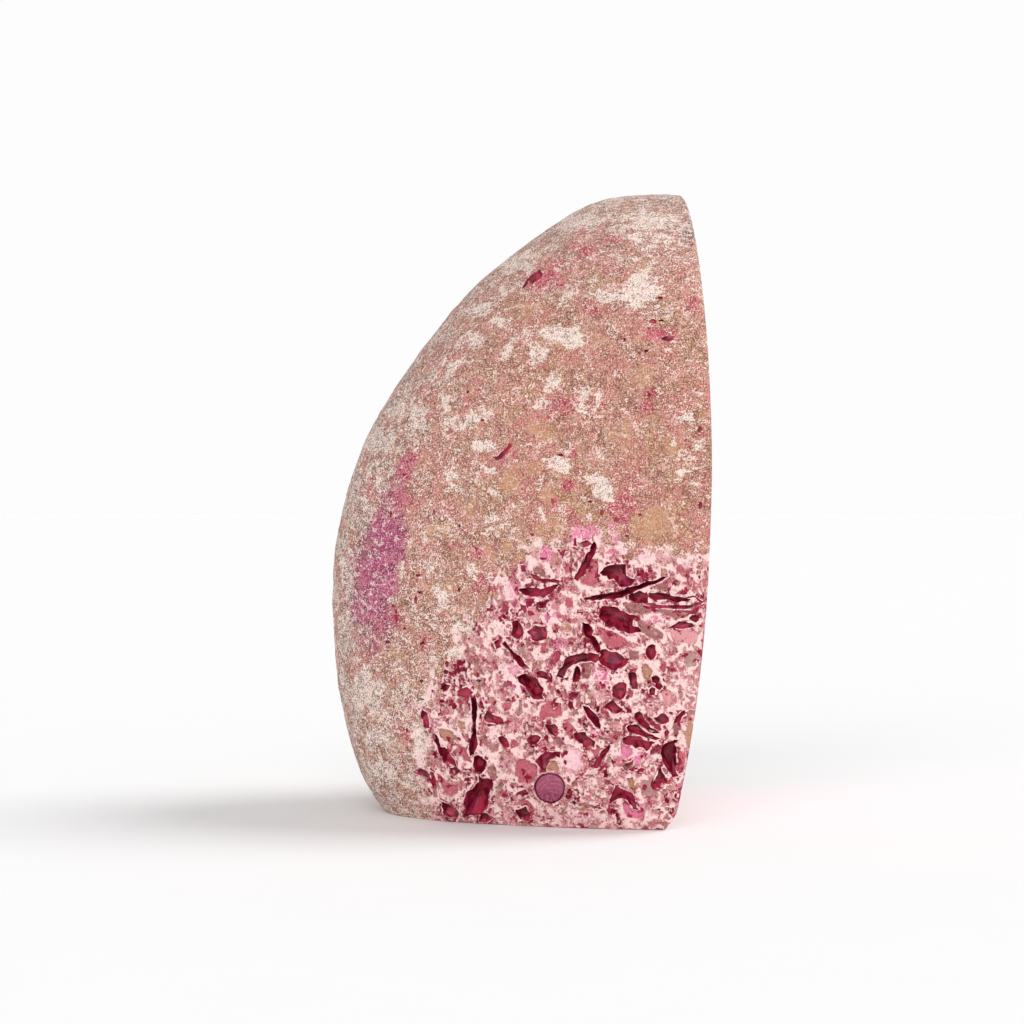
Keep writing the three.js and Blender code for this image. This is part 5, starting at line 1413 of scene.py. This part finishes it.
def rindFinish():
    look = Finish("dyedRind")
    hues = tints(rindLook)
    x, y, z = look.parts("ShaderNodeSeparateXYZ", look.place)
    paleness = rindPaleness(look, x, y, z)
    border = look.plus(look.carried("zoneEdge"), look.sway(0.4, 4, 7.0), look.sway(1.3, 4, 2.4))
    inZone = look.rise(border, -0.3, 0.4)
    splintered = look.warped(*splinter["warp"])
    colour = look.mix(inZone, plainRind(look, paleness), brokenZone(look, splintered))
    fringe = look.times(look.rise(border, -2.6, -0.4), look.fall(border, 0.4, 2.2), look.patches("fringe"))
    milk = look.most(look.times(stained(look, "milk"), 0.85), fringe)
    onShard = look.times(inZone, look.rise(look.carried("shardEdge"), 0.0, 0.2), 0.85)
    milk = look.times(milk, look.without(onShard, 0.95))
    colour = look.mix(milk, colour, hues["milk"])
    colour = look.lay(colour, hues["hotPink"], stained(look, "fuchsia"), 0.85)
    colour = look.lay(colour, hues["hotCore"], stained(look, "fuchsia", "fuchsiaCore"), 0.8)
    colour = look.lay(colour, hues["violet"], stained(look, "violet"), 0.8)
    grain, fine = look.noise(*speckles["grainNoise"]), drawnNoise(look, "fineNoise")
    colour = speckleSkin(look, colour, inZone, milk, paleness, grain, fine)
    flesh = look.mix(look.patches("flesh"), tint(*shardLook["hollow"]), tint(*shardLook["deepRose"]))
    flesh = look.lay(flesh, hues["darkPlum"], look.fall(fine, 0.38, 0.46), 0.6)
    colour = look.lay(colour, flesh, crimsonShare(look, splintered), inZone)
    colour = look.lay(colour, tint(*zoneLook["ridge"]), whiteRims(look), inZone, 0.92)
    colour, eyeShare = addEye(look, colour, x, z)
    rough = look.without(look.times(eyeShare, 0.35), look.plus(0.62, look.times(grain, 0.3)))
    height = look.plus(look.times(grain, 0.8), look.times(fine, 0.9))
    look.shader.inputs["Specular IOR Level"].default_value = 0.3
    return look.finishWith(colour, rough, height, 0.25, 0.7)


pitLook = {
    "shallow": (180, 68, 88), "crimson": (150, 12, 50), "deep": (92, 0, 24), "freshAndLit": (197, 54, 86),
    "lilac": (178, 24, 100),
}


def pitFinish():
    look = Finish("pitCrimson")
    hues = tints(pitLook)
    pick, tone, chance = look.picks(splinter["cell"], look.warped(*splinter["warp"]))
    depth = look.plus(look.carried("pitDepth"), look.sway(0.9, 3, 0.7))
    patch = look.noise(0.55, 4, 0.6)
    # paler and rosier near the mouth, darker deeper down: partly the crimson of the stone, partly painted
    # shade down in the pit
    colour = look.mix(look.rise(depth, 0.0, 0.5), hues["shallow"], hues["crimson"])
    # painted light and painted shade: walls that face up and back are painted paler and rosier, as if lit,
    # and walls that face down and forward, as under an overhang, are painted darker, as if shaded
    towardsLight = look.vector("DOT_PRODUCT", look.normal, (0, 0.65, 0.76))
    colour = look.lay(colour, hues["freshAndLit"], look.rise(towardsLight, 0.0, 0.7), look.rise(patch, 0.4, 0.55), 0.75)
    colour = look.lay(colour, hues["deep"], look.fall(towardsLight, -0.6, 0.0), 0.6)
    colour = look.lay(colour, hues["deep"], look.fall(patch, 0.38, 0.46), 0.7)
    colour = look.lay(colour, hues["lilac"], look.patches("lilac"), 0.5)
    colour = look.lay(colour, hues["freshAndLit"], look.rise(chance, 0.7, 0.71), 0.6)
    colour = look.lay(colour, hues["deep"], look.fall(chance, 0.29, 0.3), 0.65)
    # shards that reach over the edge of the pit
    reach = look.plus(look.carried("pitDepth"), look.times(look.plus(pick, -0.65), -splinter["overhang"]))
    shard = shardColour(look, look.times(tone, hollowFrom - 0.02))
    colour = look.mix(look.fall(reach, -0.05, 0.05), colour, shard)
    rough = look.plus(0.3, look.times(look.noise(1.2, 3), 0.35))
    height = look.plus(look.noise(1.3, 4, 0.6), look.times(look.noise(4.0, 2), 0.3))
    return look.finishWith(colour, rough, height, 0.2, 0.5)


bandLook = {
    "skin": (204, 158, 148), "cream": (234, 192, 190), "white": (242, 220, 220), "blush": (226, 150, 170),
    "pink": (210, 92, 136), "magenta": (176, 28, 86), "wine": (112, 10, 50), "haze": (224, 172, 184),
}
bandStops = [  # how deep into the stone each band begins, in millimetres
    [0, "skin"], [1.2, "skin"], [1.7, "wine"], [2.3, "magenta"], [2.9, "pink"], [3.3, "cream"],
    [3.8, "magenta"], [5.0, "pink"], [5.6, "cream"], [6.2, "white"], [6.8, "pink"], [7.8, "magenta"],
    [8.9, "wine"], [9.6, "magenta"], [10.6, "blush"], [11.6, "white"], [12.4, "pink"], [13.8, "magenta"],
    [14.6, "pink"], [16.0, "cream"], [17.4, "blush"], [19.2, "pink"], [20.8, "cream"], [22.6, "haze"],
    [25.0, "blush"], [27.0, "white"], [29.0, "haze"], [36.0, "blush"],
]
bandReach = 44
cutZone = {"cell": 0.3, "warp": (0.5, 2.6, 4), "edge": (0.07, 0.1), "matrixBelow": 0.35, "crimsonAbove": 0.66}


def bandColour(look, inward):
    stops = [(depth / bandReach, tint(*bandLook[name])) for depth, name in bandStops]
    return look.ramp(look.number("DIVIDE", inward, bandReach), stops)


def cutBrokenZone(look, colour, share):  # the broken zone where it is sawn through
    hues = tints(zoneLook)
    crimson = tint(*rindLook["crimson"])
    low, high = cutZone["edge"]
    zone = look.mix(look.patches("cutMatrix"), hues["dust"], hues["matrix"])
    pick, tone, chance = look.picks(splinter["cell"], look.warped(*splinter["warp"]))
    zone = look.lay(zone, mixedShard(look, tone), look.rise(pick, 0.45, 0.46), 0.85)
    zone = look.lay(zone, crimson, look.rise(chance, 0.84, 0.85), 0.9)
    place = look.warped(*cutZone["warp"])
    edge = look.cells(cutZone["cell"], "DISTANCE_TO_EDGE", place).outputs["Distance"]
    pick, tone, chance = look.picks(cutZone["cell"], place)
    kept = look.rise(pick, cutZone["matrixBelow"], cutZone["matrixBelow"] + 0.02)
    inShard = look.times(look.rise(edge, low, high), kept)
    zone = look.lay(zone, hues["ridge"], look.rise(edge, low - 0.03, low), look.fall(edge, low, high))
    zone = look.mix(inShard, zone, mixedShard(look, tone))
    deep = look.rise(chance, cutZone["crimsonAbove"], cutZone["crimsonAbove"] + 0.02)
    zone = look.lay(zone, crimson, inShard, deep)
    return look.mix(share, colour, zone)


def polishFinish():
    look = Finish("polishedAgate")
    hues = tints(bandLook)
    x, _, z = look.parts("ShaderNodeSeparateXYZ", look.place)
    inward = look.carried("inward")
    drift = look.times(look.plus(look.sway(0.045, 3, 16.0), look.sway(0.22, 3, 2.2)),
                       look.rise(inward, 0.0, 9.0))
    banded = look.most(look.plus(inward, drift), look.times(inward, 0.6))
    colour = bandColour(look, banded)
    # fine white lines in the outer bands
    hair = look.rise(look.number("SINE", look.times(banded, 7.0)), 0.2, 1.0)
    colour = look.lay(colour, hues["white"], hair, look.fall(banded, 20.0, 27.0),
                      look.rise(inward, 1.5, 3.0), 0.28)
    facets = look.cells(0.16, "F1", look.warped(0.3, 2.0)).outputs["Color"]
    core = look.mix(look.parts("ShaderNodeSeparateColor", facets)[0], hues["haze"], hues["white"])
    core = look.lay(core, hues["pink"], look.patches("corePink"), 0.5)
    colour = look.lay(colour, core, look.rise(banded, 26.0, 30.0), 0.65)
    ragged = look.sway(0.09, 4, 46.0)
    nearCorner = look.rise(look.plus(look.times(x, -0.8), look.times(z, -0.9), ragged), -12.0, -9.0)
    farCorner = look.rise(look.plus(look.times(x, 1.6), look.times(z, -0.9), ragged), 19.0, 22.0)
    colour = cutBrokenZone(look, colour, look.most(nearCorner, farCorner))
    look.shader.inputs["Coat Weight"].default_value = 0.5
    look.shader.inputs["Coat Roughness"].default_value = 0.05
    rough = look.plus(0.08, look.times(look.noise(0.7, 3), 0.12))
    return look.finishWith(colour, rough, look.noise(0.25, 2), 0.05, 0.2)


footShape = {"halfWidth": 34.5, "front": -30, "length": 57, "power": 2.3, "haze": (222, 190, 182)}


def footFinish():
    look = Finish("sawnFoot")
    x, y, _ = look.parts("ShaderNodeSeparateXYZ", look.place)
    power = footShape["power"]
    across = look.number("ABSOLUTE", look.number("DIVIDE", x, footShape["halfWidth"]))
    back = look.number("DIVIDE", look.plus(y, -footShape["front"]), footShape["length"])
    back = look.number("POWER", look.most(back, 0.0), power)
    share = look.number("POWER", look.plus(look.number("POWER", across, power), back), 1 / power)
    inward = look.times(look.without(share), footShape["halfWidth"])
    colour = bandColour(look, look.most(look.plus(inward, look.sway(0.08, 3, 7.0)), 0.0))
    colour = look.mix(0.35, colour, tint(*footShape["haze"]))
    corner = look.plus(look.times(x, -0.9), look.times(y, -0.5), look.sway(0.09, 4, 40.0))
    colour = cutBrokenZone(look, colour, look.rise(corner, 12.0, 15.0))
    grain = look.noise(2.0, 3, 0.7)
    colour = look.lay(colour, tint(*rindLook["frost"]), look.rise(grain, 0.5, 0.64), 0.3)
    sawMarks = look.number("SINE", look.times(look.plus(y, look.times(x, 0.06)), 5.2))
    rough = look.plus(0.48, look.times(grain, 0.25))
    return look.finishWith(colour, rough, look.plus(look.times(sawMarks, 0.25), grain), 0.05, 0.6)


print("stone: rings")
stone = modelStone()
sawFlats(stone)
sortFaces(stone)
refineZone(stone, -1, 2)
refineZone(stone, 1, 1)
print("stone:", len(stone.data.polygons), "faces")
raiseRelief(stone)
skin = skinTree(stone)
print("stone: relief raised")
for finish in (rindFinish(), pitFinish(), polishFinish(), footFinish()):
    stone.data.materials.append(finish)
pitSlot = slotOrder.index("pitCrimson")
for cutter in joinApart(makeCutters()):
    for material in stone.data.materials:
        cutter.data.materials.append(material)
    cutter.data.polygons.foreach_set("material_index", [pitSlot] * len(cutter.data.polygons))
    applyModifier(stone, "BOOLEAN", operation="DIFFERENCE", object=cutter, solver="MANIFOLD")
    bpy.data.objects.remove(cutter)
    print("pits:", len(stone.data.polygons), "faces")
measurePits(stone, skin)
measureStains(stone)
measureInward(stone)
takeUp(stone)
bpy.ops.object.shade_smooth_by_angle(angle=math.radians(stoneShape["smoothAngle"]))
stone.vertex_groups.clear()
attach(stone, "root")
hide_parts("agate_stone")
print("stone: finished,", sum(len(face.vertices) - 2 for face in stone.data.polygons), "triangles")


studio = {
    "floorRadius": 6000, "floorSides": 96, "floorRings": 5, "floorGap": 0.1, "ringShrink": 0.55,
    "paper": (251, 251, 251), "paperDeep": (249, 249, 249),
    # light of the air at eye level and overhead
    "airLow": 0.98, "airHigh": 0.4, "airFrom": 0.2, "airTo": 0.65,
    "cameraAim": (0, 0.525, 58), "cameraAway": 556, "cameraTurn": 0.5, "cameraRise": 0.5, "lens": 100,
    "lamps": [  # where the light comes from, strength, spread in degrees
        [(-0.85, 0.16, 0.45), 1.13, 40],
        [(0.1, -0.62, 0.78), 1.45, 30],
    ],
}


def makeFloor():
    startFresh()
    radius, below = studio["floorRadius"] * mm, (0, 0, -studio["floorGap"] * mm)
    sides = studio["floorSides"]
    bpy.ops.mesh.primitive_circle_add(vertices=sides, radius=radius, fill_type="NGON", location=below)
    floor = bpy.context.object
    floor.name = "paperFloor"
    editMesh(floor)
    bpy.ops.mesh.select_mode(type="FACE")
    for ring in range(studio["floorRings"]):
        bpy.ops.mesh.inset(thickness=radius * studio["ringShrink"] ** (ring + 1) * 0.8)
    startFresh()
    look = Finish("paper")
    colour = look.mix(look.noise(0.05, 3), tint(*studio["paper"]), tint(*studio["paperDeep"]))
    floor.data.materials.append(look.finishWith(colour, 0.9, look.noise(3.0, 2), 0.02, 0.2))


def makeLights():
    for number, (source, strength, spread) in enumerate(studio["lamps"]):
        lamp = bpy.data.lights.new("softLight" + str(number), "SUN")
        lamp.energy = strength
        lamp.angle = math.radians(spread)
        holder = bpy.data.objects.new(lamp.name, lamp)
        bpy.context.scene.collection.objects.link(holder)
        holder.rotation_euler = Vector(source).to_track_quat("Z", "Y").to_euler()


def makeAir():  # white light from all round, weaker overhead
    world = bpy.data.worlds.new("studioAir")
    bpy.context.scene.world = world
    world.use_nodes = True
    tree = world.node_tree
    background = tree.nodes["Background"]
    background.inputs["Color"].default_value = (1, 1, 1, 1)
    parts = tree.nodes.new("ShaderNodeSeparateXYZ")
    tree.links.new(tree.nodes.new("ShaderNodeTexCoord").outputs["Generated"], parts.inputs[0])
    height = tree.nodes.new("ShaderNodeMapRange")
    ends = {"From Min": "airFrom", "From Max": "airTo", "To Min": "airLow", "To Max": "airHigh"}
    for name, value in ends.items():
        height.inputs[name].default_value = studio[value]
    tree.links.new(parts.outputs["Z"], height.inputs["Value"])
    tree.links.new(height.outputs["Result"], background.inputs["Strength"])


def makeCamera():
    data = bpy.data.cameras.new("camera")
    data.lens = studio["lens"]
    camera = bpy.data.objects.new("camera", data)
    bpy.context.scene.collection.objects.link(camera)
    aim = Vector(studio["cameraAim"]) * mm
    turn, rise = math.radians(studio["cameraTurn"]), math.radians(studio["cameraRise"])
    back = Vector((-math.cos(turn) * math.cos(rise), math.sin(turn) * math.cos(rise), math.sin(rise)))
    camera.location = aim + back * studio["cameraAway"] * mm
    camera.rotation_euler = (aim - camera.location).to_track_quat("-Z", "Y").to_euler()
    bpy.context.scene.camera = camera


makeFloor()
makeLights()
makeAir()
makeCamera()
bpy.context.scene.view_settings.view_transform = "Standard"

print("scene ready")
